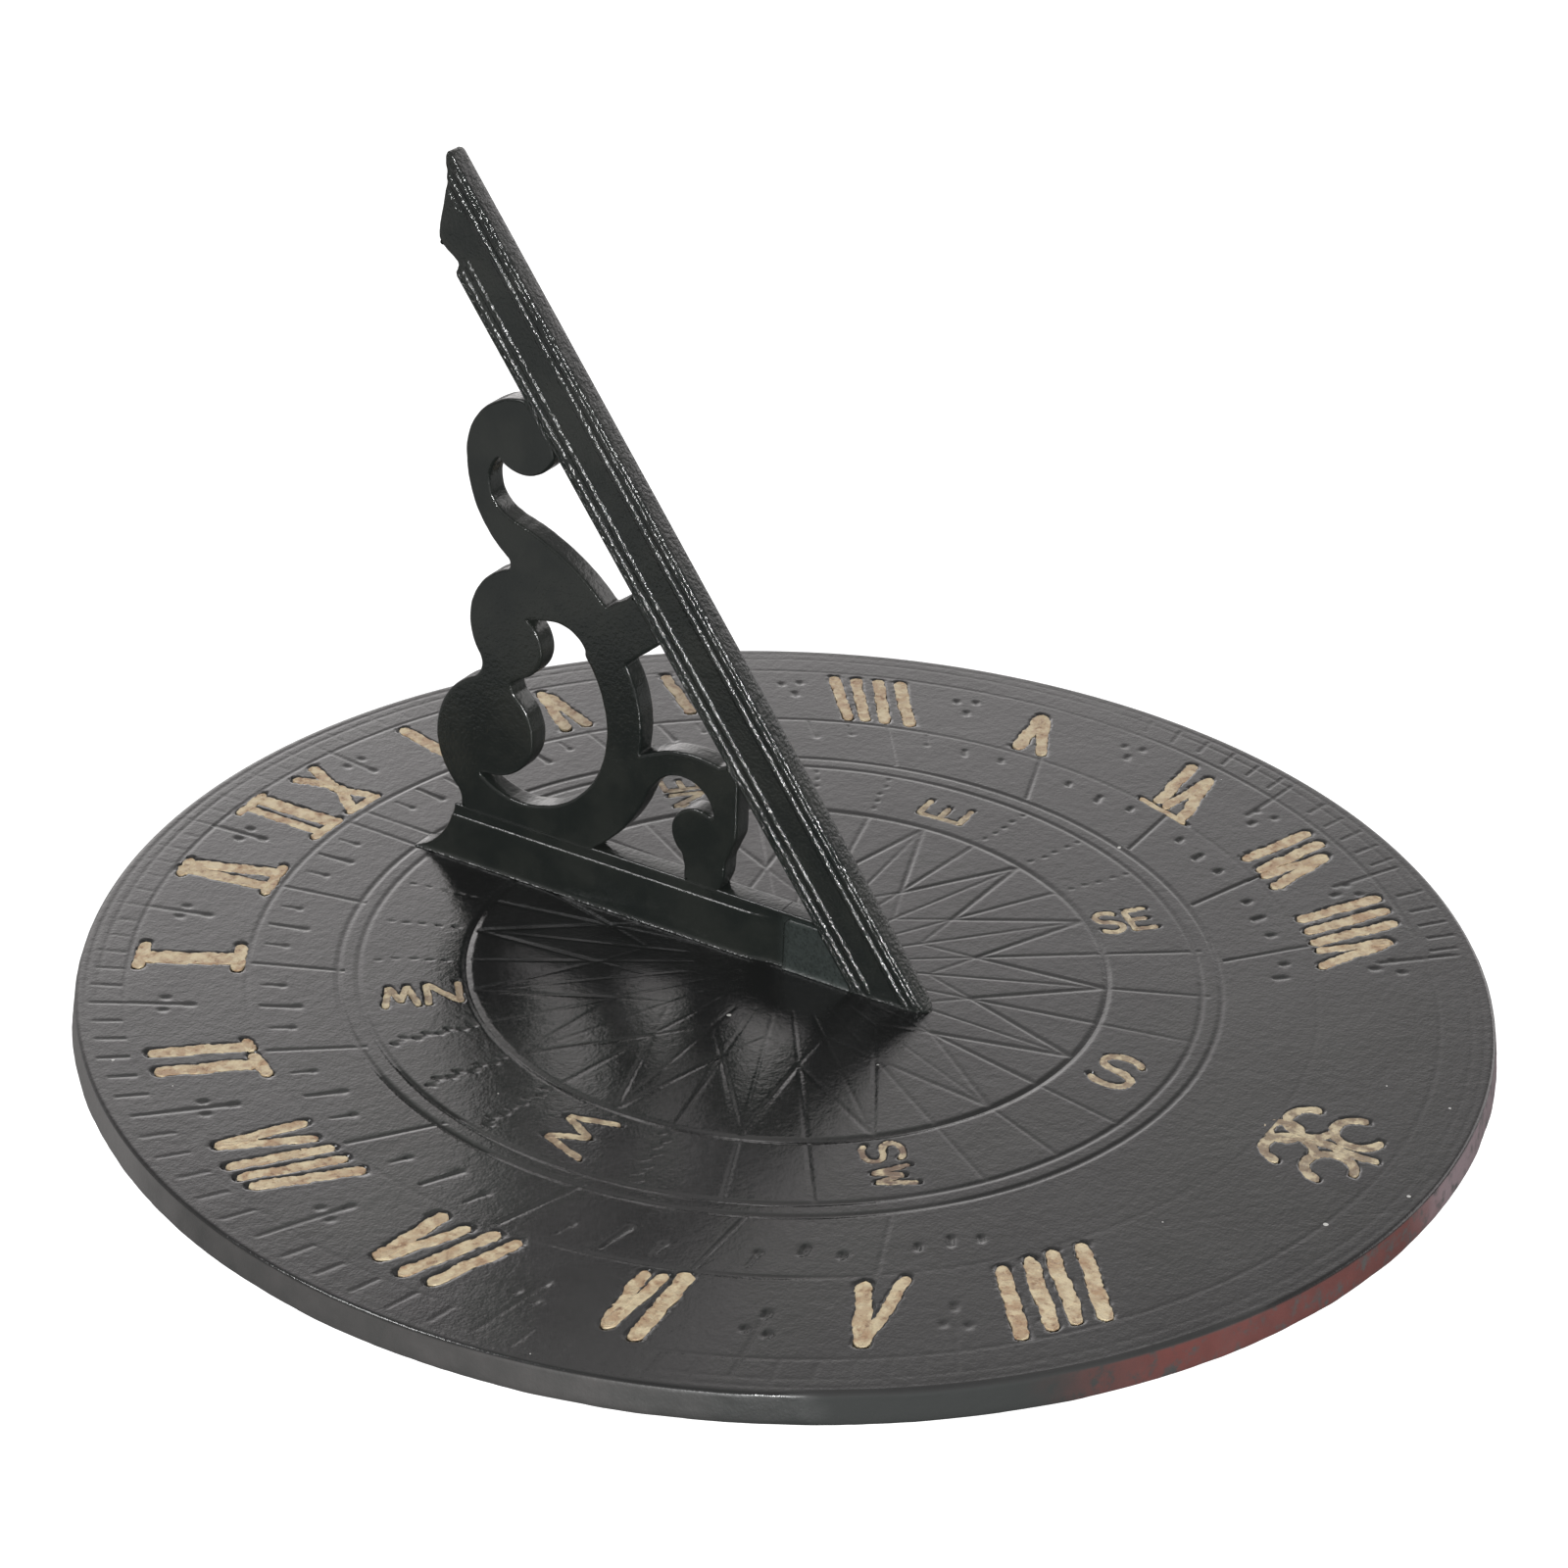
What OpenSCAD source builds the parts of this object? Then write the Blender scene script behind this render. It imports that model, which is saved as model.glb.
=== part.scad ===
// Horizontal garden sundial: engraved round dial plate with a pierced scroll gnomon.
// Origin at the centre of the underside of the plate, +Z up, +Y along the noon line to XII, +X east.

/* [Plate] */
// Diameter of the dial plate at its underside
plate_d = 301; // [260:1:360]
// Thickness of the dial plate
plate_t = 6.5; // [5:0.5:8]
// How much smaller the top radius is than the bottom radius
rim_draft = 1; // [0:0.5:2]

/* [Engraving] */
// Width of an engraved line
line_w = 0.9; // [0.6:0.1:1.4]
// Depth of an engraved line
line_depth = 0.4; // [0.2:0.1:0.8]
// Latitude that the hour lines are drawn for, in degrees
latitude = 53; // [50:1:56]
// Distance of the hour line centres south of the plate centre
hour_centre = 38.5; // [36:0.5:42]
// Radius of the compass rose
rose_r = 68.2; // [64:0.2:72]
// Inner radius of the hour scale
hour_ring_r = 93.6; // [90:0.2:97]
// Inner radius of the numeral ring
numeral_ring_r = 113.6; // [112:0.2:115]
// Outer radius of the numeral ring
minute_ring_r = 139; // [137.6:0.2:142]

/* [Gold filling] */
// Width of a numeral stroke
stroke_w = 2.9; // [2:0.1:3.2]
// Length of a numeral stroke
stroke_l = 21; // [18:0.5:21]
// Depth of the recess under the gold filling
recess_depth = 0.6; // [0.4:0.1:1]
// Thickness of the gold filling
fill_t = 0.4; // [0.2:0.1:0.4]

/* [Gnomon] */
// Thickness of the gnomon
gnomon_t = 5.5; // [4.5:0.5:7]
// Angle of the style above the plate, in degrees
style_angle = 54; // [53:0.5:55]
// Depth of the style bar, square to its top edge
bar_h = 14.6; // [14.2:0.2:15]
// Height of the foot rail
rail_h = 13.7; // [13.2:0.1:14]

/* [Fasteners] */
// Thread diameter of the screws from beneath
screw_d = 3; // [2.5:0.5:3]
// Diameter of a countersunk screw head
screw_head_d = 6; // [5:0.5:7]
// Diameter of the dowels between plate and rail
dowel_d = 2.5; // [2:0.5:3]
// Diameter of the pins between bar, scroll and rail
pin_d = 2; // [1.5:0.5:2.5]

/* [Hidden] */
$fn = 96;

black_paint = [0.16, 0.16, 0.17];
gnomon_black = [0.12, 0.13, 0.12];
gold_paint = [0.77, 0.66, 0.45];
brass = [0.78, 0.62, 0.34];

eps = 0.01;
slip = 0.05;
recess_z = plate_t - recess_depth;

// Gnomon outline points are [y north, z above the plate]. The bar's own frame has s along its top
// edge from the foot of the style and p square to it, upwards.
foot_y = -35.2;
function on_bar(s, p) = [foot_y + s * cos(style_angle) - p * sin(style_angle),
    s * sin(style_angle) + p * cos(style_angle)];
// Point on the underside of the bar at a given y
function under_bar(y) = [y, (y - foot_y) * tan(style_angle) - bar_h / cos(style_angle)];
bar_under_y = foot_y + bar_h / sin(style_angle);

// Points on a circular arc from angle a to angle b
function arc(c, r, a, b, n = 8) = [for (i = [0 : n]) let (t = a + (b - a) * i / n)
    c + r * [cos(t), sin(t)]];

// Tip of the style bar
tip_y = 85.2;
tip_top_z = 164.4;
leaf_c = [83, 146.2];
leaf_r = 4.3;

// Bead mouldings on the bar faces: distance below the top edge, start and end along the bar
beads = [[1.7, 12, 198], [3.9, 12, 194], [10.7, 16, 181], [13.1, 18, 181]];
bead_r = 0.8;
bead_proud = 0.3;
bar_field_t = gnomon_t - 2 * bead_proud;

// Moulding on the rail
fascia_z = 10.8;
lip_z = 13;
rail_groove = 0.35;
rail_south_y = 5.5;
block_north_y = 0.5;
heel_y = 84.9;
neck_t = 3.4;
neck_h = 12.6;
block_h = 12.4;
block_round = 3;

// Places along the noon line
screw_ys = [-26, -8, 24, 76];
screw_reach = [10, 9, 10, 10];
dowel_ys = [42, 62];
dowel_l = 9;
// Pins square to the underside of the bar, as distances along the bar
bar_pin_s = [63.5, 99.7, 148.2];
pin_l = 8;
// Upright pins between rail and scroll
rail_pin_ys = [20.6, 68];

// Hour number counted from noon, and azimuth of the numeral on the ring, clockwise from north
numerals = [
    ["IIII", -8, -144], ["V", -7, -128.5], ["VI", -6, -109.6], ["VII", -5, -90.5],
    ["VIII", -4, -69.9], ["IX", -3, -51.4], ["X", -2, -33], ["XI", -1, -16.8], ["XII", 0, 0],
    ["I", 1, 17.6], ["II", 2, 33.6], ["III", 3, 49.6], ["IIII", 4, 68.8], ["V", 5, 87.8],
    ["VI", 6, 107.3], ["VII", 7, 125], ["VIII", 8, 140]];
numeral_r = 125.8;
numeral_pitch = 4.1;

// North carries no letter, because the gnomon's foot covers that place
letters = [["NE", 41.5], ["E", 87], ["SE", 131.6], ["S", 178.9], ["SW", -136], ["W", -90.2],
    ["NW", -43.2]];
letter_r = 78;
letter_w = 1.8;

// Compass rose: points that reach its circle, and the radius where their edges cross
rose_points = 16;
rose_valley_r = 40.5;
rose_turn = -1.5;

// The sprig stands between its two lowest leaves and its flower
sprig_r = 125;

module dial_plate() {
    color(black_paint) difference() {
        cylinder(h = plate_t, r1 = plate_d / 2, r2 = plate_d / 2 - rim_draft);
        translate([0, 0, plate_t]) engraving();
        translate([0, 0, recess_z]) linear_extrude(recess_depth + eps) {
            numeral_strokes(stroke_w);
            letter_strokes(letter_w);
            sprig_strokes(0);
        }
        for (i = [0 : len(screw_ys) - 1]) screw_hole(screw_ys[i]);
        for (y = dowel_ys) translate([0, y, plate_t - dowel_l / 2]) cylinder(h = dowel_l, d = dowel_d + slip);
    }
}

module screw_hole(y) {
    translate([0, y, -eps]) cylinder(h = plate_t + 1, d = screw_d + 0.4);
    translate([0, y, -eps]) cylinder(h = (screw_head_d - screw_d) / 2 + 0.3, d1 = screw_head_d + 0.4,
        d2 = screw_d + 0.2);
}

module ring_groove(r) {
    rotate_extrude() translate([r - line_w / 2, -line_depth]) square([line_w, line_depth + eps]);
}

// A straight engraved line along +Y, cut down from the plate's face
module cut_line(length, depth) {
    translate([-line_w / 2, 0, -depth]) cube([line_w, length, depth + eps]);
}

// Length of a ray from c towards azimuth a until it meets the circle of radius r
function reach(c, a, r) = let (b = c[0] * sin(a) + c[1] * cos(a)) -b + sqrt(b * b - c * c + r * r);

// Bearing of an hour line: tangent is the sine of the latitude times the tangent of the hour angle
function hour_bearing(h) = atan2(sin(latitude) * sin(15 * h), cos(15 * h));

module hour_line(h, r0, r1) {
    side = h == 0 ? 0 : sign(h);
    c = [side * gnomon_t / 2, -hour_centre];
    a = hour_bearing(h);
    d0 = reach(c, a, r0);
    translate(c) rotate(-a) translate([0, d0, 0]) cut_line(reach(c, a, r1) - d0, line_depth - 0.05);
}

module noon_lines() {
    for (side = [-1, 1]) translate([side * gnomon_t / 2, hour_ring_r, 0])
        cut_line(numeral_ring_r - hour_ring_r, line_depth - 0.05);
}

module engraving() {
    for (r = [rose_r, hour_ring_r - 4, hour_ring_r, numeral_ring_r, minute_ring_r]) ring_groove(r);
    noon_lines();
    for (h = [1 : 8], side = [-1, 1]) hour_line(side * h, hour_ring_r, numeral_ring_r);
    for (h = [0.5 : 8], side = [-1, 1]) {
        hour_line(side * h, numeral_ring_r - 9, numeral_ring_r);
        hour_line(side * h, minute_ring_r - 9, minute_ring_r + 6);
    }
    rose_lines();
}

module rose_lines() {
    half = 180 / rose_points;
    edge = sqrt(pow(rose_r, 2) + pow(rose_valley_r, 2) - 2 * rose_r * rose_valley_r * cos(half));
    lean = asin(rose_valley_r * sin(half) / edge);
    for (k = [0 : rose_points - 1]) rotate(-(k * 2 * half + rose_turn)) {
        for (side = [-1, 1]) translate([0, rose_r, 0]) rotate(180 + side * lean)
            cut_line(edge, line_depth - 0.08 - side * 0.03);
        rotate(-half) translate([0, rose_valley_r, 0]) cut_line(rose_r - rose_valley_r, line_depth - 0.14);
    }
}

// A stroke with blunt chamfered ends from point a to point b
module stroke(a, b, w) {
    d = b - a;
    l = norm(d);
    h = w / 2;
    c = 0.7 * h;
    translate(a) rotate(atan2(d[1], d[0])) polygon([[0, -h], [l, -h], [l + c, -c], [l + h, 0], [l + c, c],
        [l, h], [0, h], [-c, c], [-h, 0], [-c, -c]]);
}

// Numeral strokes for a reader outside the plate: +x is the reader's right, +y points to the centre
module roman(word, w) {
    half = (stroke_l - stroke_w) / 2;
    widths = [for (c = word) c == "I" ? 1 : c == "V" ? 1.6 : 2];
    for (i = [0 : len(word) - 1]) {
        before = i == 0 ? 0 : [for (k = 0, t = widths[0]; k < i; k = k + 1, t = t + widths[k]) t][i - 1];
        total = widths * [for (c = widths) 1];
        x = (before + widths[i] / 2 - total / 2) * numeral_pitch;
        if (word[i] == "I") stroke([x, -half], [x, half], w);
        if (word[i] == "V") for (side = [-1, 1]) stroke([x, -half], [x + side * 2.2, half], w);
        if (word[i] == "X") for (side = [-1, 1]) stroke([x - side * 2.6, -half], [x + side * 2.6, half], w);
    }
}

module numeral_strokes(w) {
    for (n = numerals) rotate(-n[2]) translate([0, numeral_r]) rotate(n[2] - hour_bearing(n[1]))
        rotate(180) roman(n[0], w);
}

// A letter in a box of unit width and height, as pairs of stroke ends
function letter_pairs(c) =
    c == "N" ? [[[0, 0], [0, 1]], [[0, 1], [1, 0]], [[1, 0], [1, 1]]] :
    c == "E" ? [[[0, 0], [0, 1]], [[0, 0], [1, 0]], [[0, 0.5], [0.8, 0.5]], [[0, 1], [1, 1]]] :
    c == "S" ? [[[0, 0], [1, 0]], [[1, 0], [1, 0.5]], [[1, 0.5], [0, 0.5]], [[0, 0.5], [0, 1]],
        [[0, 1], [1, 1]]] :
    [[[0, 1], [0.25, 0]], [[0.25, 0], [0.5, 0.8]], [[0.5, 0.8], [0.75, 0]], [[0.75, 0], [1, 1]]];

// Letters read outwards along the radius, with their tops turned to the left of the reader
module letter_strokes(w) {
    for (l = letters) rotate(-l[1]) translate([0, letter_r]) rotate(90) {
        n = len(l[0]);
        box_w = n == 1 ? 7 : 5.2;
        box_h = n == 1 ? 10 : 8.6;
        for (i = [0 : n - 1]) for (s = letter_pairs(l[0][i])) {
            x = (i - (n - 1) / 2) * (box_w + 3) - box_w / 2;
            stroke([x + s[0][0] * box_w, (s[0][1] - 0.5) * box_h],
                [x + s[1][0] * box_w, (s[1][1] - 0.5) * box_h], w);
        }
    }
}

// Generic sprig: a stem with a ring flower and pairs of curled leaves
module sprig_strokes(inset) {
    w = stroke_w - 2 * inset;
    translate([0, -sprig_r]) {
        stroke([0, -11], [0, 5], w);
        translate([0, 9]) difference() {
            circle(d = 9 - 2 * inset);
            circle(d = 4 + 2 * inset);
        }
        for (side = [-1, 1]) {
            leaf_arc([side * 7.2, -4], w, side);
            leaf_arc([side * 5.6, 5.5], w, side);
        }
    }
}

module leaf_arc(c, w, side) {
    translate(c) difference() {
        circle(d = 10 + w);
        circle(d = 10 - w);
        translate([side > 0 ? 0 : -10, -10]) square([10, 10]);
    }
}

module face_bead(bead) {
    length = bead[2] - bead[1];
    for (side = [-1, 1]) translate([side * (gnomon_t / 2 - bead_r), 0, 0])
        translate([0, on_bar(bead[1], -bead[0])[0], plate_t + on_bar(bead[1], -bead[0])[1]])
        rotate([style_angle - 90, 0, 0]) cylinder(h = length, r = bead_r, $fn = 24);
}

// Turns a [y, z] outline into a plate of the given thickness on the noon plane, above the dial plate
module upright(thickness) {
    translate([-thickness / 2, 0, plate_t]) rotate([90, 0, 90]) linear_extrude(thickness) children();
}

module bar_outline() {
    under_tip = under_bar(82.9);
    polygon(concat(
        [[bar_under_y, 0], [foot_y + 0.8, 0], on_bar(0.8, 0)],
        [[tip_y - 1.6, tip_top_z - 1], [tip_y - 0.5, tip_top_z - 0.6], [tip_y, tip_top_z - 1.6]],
        [[tip_y, 156], [tip_y + 0.2, 152.6]],
        arc(leaf_c, leaf_r, 45, -50, 8),
        [[82.8, 140.4], under_tip]));
}

module style_bar() {
    color(gnomon_black) difference() {
        union() {
            upright(bar_field_t) bar_outline();
            intersection() {
                upright(gnomon_t) bar_outline();
                union() {
                    for (b = beads) face_bead(b);
                    upright(gnomon_t) polygon([on_bar(-5, 0.5), on_bar(220, 0.5), on_bar(220, -1.1), on_bar(-5, -1.1)]);
                    upright(gnomon_t) polygon([[tip_y - 2.6, 120], [tip_y + 5, 120], [tip_y + 5, 180],
                        [tip_y - 2.6, 180]]);
                }
            }
        }
        gnomon_holes();
    }
}

function scroll_outer() = concat(
    arc([66.2, 99.4], 14.6, 92, -3, 14),
    arc([54.1, 98.2], 26.6, -1, -54, 10),
    [[69.8, 76.4]],
    arc([65.8, 60.7], 14.5, 74, -34, 12),
    arc([81.6, 50.4], 4.4, 148, 236, 6),
    arc([71.7, 30.8], 17.7, 62, -47, 12),
    arc([86.5, 15.3], 3.6, 137, 193, 4),
    [[82.9, rail_h], [48.4, rail_h]],
    arc([68.85, 43.8], 36.4, 235, 199, 6),
    arc([25.8, 30], 8, 40, 175, 10),
    arc([21.9, 25.1], 6.35, 118, -55, 12),
    [[24.9, 17.1], [24.9, rail_h], [16.3, rail_h], [14.9, 16.8], [14.6, 21.1], [12, 27.5]],
    [under_bar(12), under_bar(14.6)],
    arc([23, 20.6], 23.5, 106, 63.5, 5),
    arc([64.5, 45.9], 28.3, 192.2, 149, 8),
    [[32.7, 66.65], under_bar(31.6), under_bar(38.6), [39.95, 76], [45.4, 72.15]],
    arc([81.8, 37.9], 50, 135, 105, 8),
    arc([66.9, 94], 7.9, -74, 47, 8),
    arc([66.5, 105.5], 8.5, 305, 200, 10),
    [under_bar(59.1)]);

function scroll_inner() = concat(
    arc([66.65, 36.9], 17.7, 310, 265, 6),
    arc([67.7, 41.8], 22.6, 260, 185, 8),
    arc([74.3, 42.1], 29.4, 180, 143, 6),
    arc([58, 56.6], 8.6, 150, 80, 6),
    arc([69.3, 56.9], 7.8, 118, 254, 10),
    [[69.5, 47.5]],
    arc([75.45, 35.4], 11.65, 125, 262, 12),
    [[77, 23.6]]);

module scroll_bracket() {
    color(gnomon_black) difference() {
        upright(gnomon_t) difference() {
            polygon(scroll_outer());
            polygon(scroll_inner());
        }
        gnomon_holes();
    }
}

function rail_outline(top) = concat(
    [[rail_south_y, 0], [rail_south_y, top], [heel_y, top]],
    top > fascia_z ? arc([100.9, 14.9], 15.9, 194, 249.5, 8) : arc([100.9, 14.9], 15.9, 196, 249.5, 8));

module foot_rail() {
    color(gnomon_black) difference() {
        union() {
            upright(gnomon_t - 2 * rail_groove) polygon(rail_outline(rail_h));
            upright(gnomon_t) difference() {
                polygon(rail_outline(rail_h));
                translate([rail_south_y - 1, fascia_z]) square([heel_y + 3 - rail_south_y, lip_z - fascia_z]);
            }
            upright(neck_t) translate([block_north_y, 0]) square([rail_south_y - block_north_y + 1, neck_h]);
        }
        gnomon_holes();
    }
}

module toe_block() {
    color(gnomon_black) difference() {
        upright(gnomon_t) polygon(concat(
            [[bar_under_y, 0], [block_north_y, 0]],
            arc([block_north_y - block_round, block_h - block_round], block_round, 0, 90, 6),
            [[(block_h + bar_h / cos(style_angle)) / tan(style_angle) + foot_y, block_h]]));
        gnomon_holes();
    }
}

// Pin square to the underside of the bar, centred on it
module bar_pin(s, d) {
    c = on_bar(s, -bar_h - pin_l / 2);
    translate([0, c[0], plate_t + c[1]]) rotate([style_angle, 0, 0]) cylinder(h = pin_l, d = d);
}

module gnomon_holes() {
    for (i = [0 : len(screw_ys) - 1]) translate([0, screw_ys[i], plate_t - 1])
        cylinder(h = screw_reach[i] - plate_t + 2.5, d = screw_d + slip);
    for (y = dowel_ys) translate([0, y, plate_t - dowel_l / 2]) cylinder(h = dowel_l, d = dowel_d + slip);
    for (s = bar_pin_s) bar_pin(s, pin_d + slip);
    for (y = rail_pin_ys) translate([0, y, plate_t + rail_h - pin_l / 2]) cylinder(h = pin_l, d = pin_d + slip);
}

module foot_screws() {
    color(brass) for (i = [0 : len(screw_ys) - 1]) translate([0, screw_ys[i], 0.2]) difference() {
        union() {
            cylinder(h = (screw_head_d - screw_d) / 2, d1 = screw_head_d, d2 = screw_d);
            cylinder(h = screw_reach[i], d = screw_d);
        }
        translate([-screw_head_d, -0.4, -eps]) cube([2 * screw_head_d, 0.8, 0.7]);
    }
}

module base_dowels() {
    color(brass) for (y = dowel_ys) translate([0, y, plate_t - dowel_l / 2 + slip])
        cylinder(h = dowel_l - 2 * slip, d = dowel_d);
}

module bracket_pins() {
    color(brass) {
        for (s = bar_pin_s) bar_pin(s, pin_d);
        for (y = rail_pin_ys) translate([0, y, plate_t + rail_h - pin_l / 2]) cylinder(h = pin_l, d = pin_d);
    }
}

module gold_fill() {
    color(gold_paint) translate([0, 0, recess_z]) linear_extrude(fill_t) children();
}

module hour_numerals() {
    gold_fill() numeral_strokes(stroke_w - 2 * slip);
}

module compass_letters() {
    gold_fill() letter_strokes(letter_w - 2 * slip);
}

module south_ornament() {
    gold_fill() sprig_strokes(slip);
}

dial_plate();
style_bar();
scroll_bracket();
foot_rail();
toe_block();
foot_screws();
base_dowels();
bracket_pins();
hour_numerals();
compass_letters();
south_ornament();
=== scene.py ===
"""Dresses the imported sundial: engraved dial plate, gilt numerals and scroll gnomon, with paint finishes.

Lengths are millimetres in the functions that build shapes, until make_piece turns them into metres. Finishes,
lights and the camera are in metres. The origin is the centre of the plate's underside, +Z up, +Y along the
noon line to XII and +X east.
"""
import math
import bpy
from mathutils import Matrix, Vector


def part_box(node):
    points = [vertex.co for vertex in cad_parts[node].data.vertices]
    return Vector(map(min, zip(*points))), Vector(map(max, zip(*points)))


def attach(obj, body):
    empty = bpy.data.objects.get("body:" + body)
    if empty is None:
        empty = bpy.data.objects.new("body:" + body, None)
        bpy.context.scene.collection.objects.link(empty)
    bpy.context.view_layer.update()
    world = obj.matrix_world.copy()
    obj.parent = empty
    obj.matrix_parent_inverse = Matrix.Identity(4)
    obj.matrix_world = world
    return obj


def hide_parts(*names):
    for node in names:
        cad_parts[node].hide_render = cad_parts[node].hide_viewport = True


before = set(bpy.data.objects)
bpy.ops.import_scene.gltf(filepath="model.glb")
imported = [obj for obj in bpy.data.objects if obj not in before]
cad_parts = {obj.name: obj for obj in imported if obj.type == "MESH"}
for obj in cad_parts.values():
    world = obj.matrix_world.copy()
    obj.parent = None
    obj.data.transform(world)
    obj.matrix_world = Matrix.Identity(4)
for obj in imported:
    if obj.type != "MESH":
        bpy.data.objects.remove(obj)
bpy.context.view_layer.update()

from types import SimpleNamespace

import bmesh
import bpy
import numpy as np
from mathutils import Matrix, Vector
from mathutils.geometry import tessellate_polygon

bl_info = {
    "name": "Sundial looks",
    "version": (1, 0, 0),
    "blender": (4, 5, 0),
    "location": "View3D > Sidebar > Sundial",
    "description": "Builds the visible surfaces of a horizontal sundial around its packed frame",
    "category": "Object",
}

MM = 0.001
MERGE = 0.002         # points of a solid that lie closer, in mm, become one
PLATE_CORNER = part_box("dial_plate")[1]
GNOMON_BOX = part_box("scroll_bracket")


# Sizes and colours that a user would change


class DialSizes(bpy.types.PropertyGroup):
    """Sizes of the engraved face."""

    plate_radius: bpy.props.FloatProperty(name="Plate radius", unit="LENGTH", default=PLATE_CORNER.x,
                                          description="Radius of the plate at its underside")
    plate_top: bpy.props.FloatProperty(name="Plate thickness", unit="LENGTH", default=PLATE_CORNER.z,
                                       description="Height of the plate's face above its underside")
    rose_radius: bpy.props.FloatProperty(name="Rose radius", unit="LENGTH", default=0.0682,
                                         description="Radius of the circle around the compass rose")
    letter_ring_radius: bpy.props.FloatProperty(name="Letter ring radius", unit="LENGTH", default=0.0937,
                                                description="Outer line of the ring around the letters")
    hour_ring_radius: bpy.props.FloatProperty(name="Hour ring radius", unit="LENGTH", default=0.1133,
                                              description="Line between the hour scale and the numerals")
    minute_ring_radius: bpy.props.FloatProperty(name="Minute ring radius", unit="LENGTH", default=0.1386,
                                                description="Line outside the numerals")
    hour_centre: bpy.props.FloatProperty(name="Hour centre", unit="LENGTH", default=0.0385,
                                         description="Distance of the hour line centres south of the middle")
    latitude: bpy.props.FloatProperty(name="Latitude", default=53.0,
                                      description="Latitude that the hour lines are drawn for, in degrees")


class GnomonSizes(bpy.types.PropertyGroup):
    """Sizes of the gnomon."""

    width: bpy.props.FloatProperty(name="Gnomon thickness", unit="LENGTH",
                                   default=GNOMON_BOX[1].x - GNOMON_BOX[0].x,
                                   description="Thickness of the gnomon from face to face")
    style_angle: bpy.props.FloatProperty(name="Style angle", default=54.0,
                                         description="Angle of the style above the plate, in degrees")
    bar_depth: bpy.props.FloatProperty(name="Bar depth", unit="LENGTH", default=0.0146,
                                       description="Depth of the style bar, square to its top edge")
    rail_height: bpy.props.FloatProperty(name="Rail height", unit="LENGTH", default=0.0137,
                                         description="Height of the foot rail above the plate")
    edge_round: bpy.props.FloatProperty(name="Edge rounding", unit="LENGTH", default=0.0005,
                                        description="Radius of the gnomon's long edges")


class FinishColours(bpy.types.PropertyGroup):
    """Colours of the finishes."""

    plate_paint: bpy.props.FloatVectorProperty(name="Plate paint", subtype="COLOR", size=3,
                                               default=(0.0062, 0.0065, 0.0064),
                                               description="Satin paint on the dial plate")
    gnomon_paint: bpy.props.FloatVectorProperty(name="Gnomon paint", subtype="COLOR", size=3,
                                                default=(0.0070, 0.0085, 0.0078),
                                                description="Satin paint on the gnomon")
    gilt: bpy.props.FloatVectorProperty(name="Gold paint", subtype="COLOR", size=3,
                                        default=(0.320, 0.250, 0.158),
                                        description="Matt gold paint in the numerals and letters")
    rim_oxide: bpy.props.FloatVectorProperty(name="Rim red", subtype="COLOR", size=3,
                                             default=(0.085, 0.020, 0.016),
                                             description="Red primer that shows on the plate's edge")
    brass: bpy.props.FloatVectorProperty(name="Brass", subtype="COLOR", size=3, default=(0.62, 0.43, 0.18),
                                         description="Screws and pins")


def in_mm(metres):
    """A setting in millimetres, rounded because Blender keeps it with about seven digits."""
    return round(metres / MM, 4)


def dial():
    """The engraved face's sizes in millimetres, by name."""
    group = bpy.context.scene.sundial_dial
    names = ("plate_radius", "plate_top", "rose_radius", "letter_ring_radius", "hour_ring_radius",
             "minute_ring_radius", "hour_centre")
    return SimpleNamespace(**{name: in_mm(getattr(group, name)) for name in names})


def gnomon():
    """The gnomon's sizes by name, in millimetres, with its slope in radians. half is half its thickness."""
    group = bpy.context.scene.sundial_gnomon
    return SimpleNamespace(half=in_mm(group.width) / 2, edge=in_mm(group.edge_round),
                           depth=in_mm(group.bar_depth), rail=in_mm(group.rail_height),
                           slope=math.radians(group.style_angle))


# Engraving on the face. Places are an azimuth in degrees, clockwise from north, and a radius in mm.

SCORE = 1.28          # width of a scored hour line
SCORE_DEPTH = 0.28
PUNCHED = (125.6, 126.9)   # ends of the inner punch mark of a half hour
PUNCHED_PAIR = 131.0       # radius of the pair of punch marks beside its line
MINUTE_TICK = (140.1, 146.2)
RECESS_DEPTH = 0.62   # floor of the recess under the gold paint
FACE_DROP = 0.05      # how far the face lies under the solid's, so that its waves stay within the solid
ROUNDING = (148.4, 1.1, 0.45)   # radius where the face rounds off, and the rounding's width and drop
DOUBLE_RING_GAP = 4.2
ROSE_POINTS = 16
ROSE_VALLEY = 40.5
RIDGE_END = 20.0      # inner end of the rays between the rose's points

# How worn the rings and ticks are: azimuth and the share of the depth that is left there
HOUR_WEAR = ((-180, 0.1), (-125, 0.2), (-119, 0.9), (-103, 0.8), (-95, 0.25), (-60, 0.12), (-32, 0.4),
             (-22, 1.0), (60, 0.9), (85, 0.6), (105, 0.25), (180, 0.1))
RIM_WEAR = ((-180, 0.3), (-120, 0.4), (-100, 0.5), (-92, 0.2), (-60, 0.15), (-40, 0.45), (-28, 0.9),
            (25, 1.0), (45, 0.5), (95, 0.35), (103, 1.0), (135, 1.0), (148, 0.35), (180, 0.3))
TICK_WEAR = ((-180, 0.3), (-120, 0.3), (-98, 0.6), (-92, 1.0), (-40, 1.0), (-30, 0.35), (30, 0.35), (50, 0.2),
             (57, 0.0), (94, 0.0), (102, 1.0), (145, 1.0), (155, 0.35), (180, 0.3))
OUTER_CUT = ((-180, 0), (-86, 0), (-83, 1), (-62, 1), (-59, 0), (180, 0))
INNER_CUT = ((-180, 0), (-78, 0), (-75, 1), (-62, 1), (-59, 0), (180, 0))
UNWORN = ((-180, 1), (180, 1))


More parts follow.
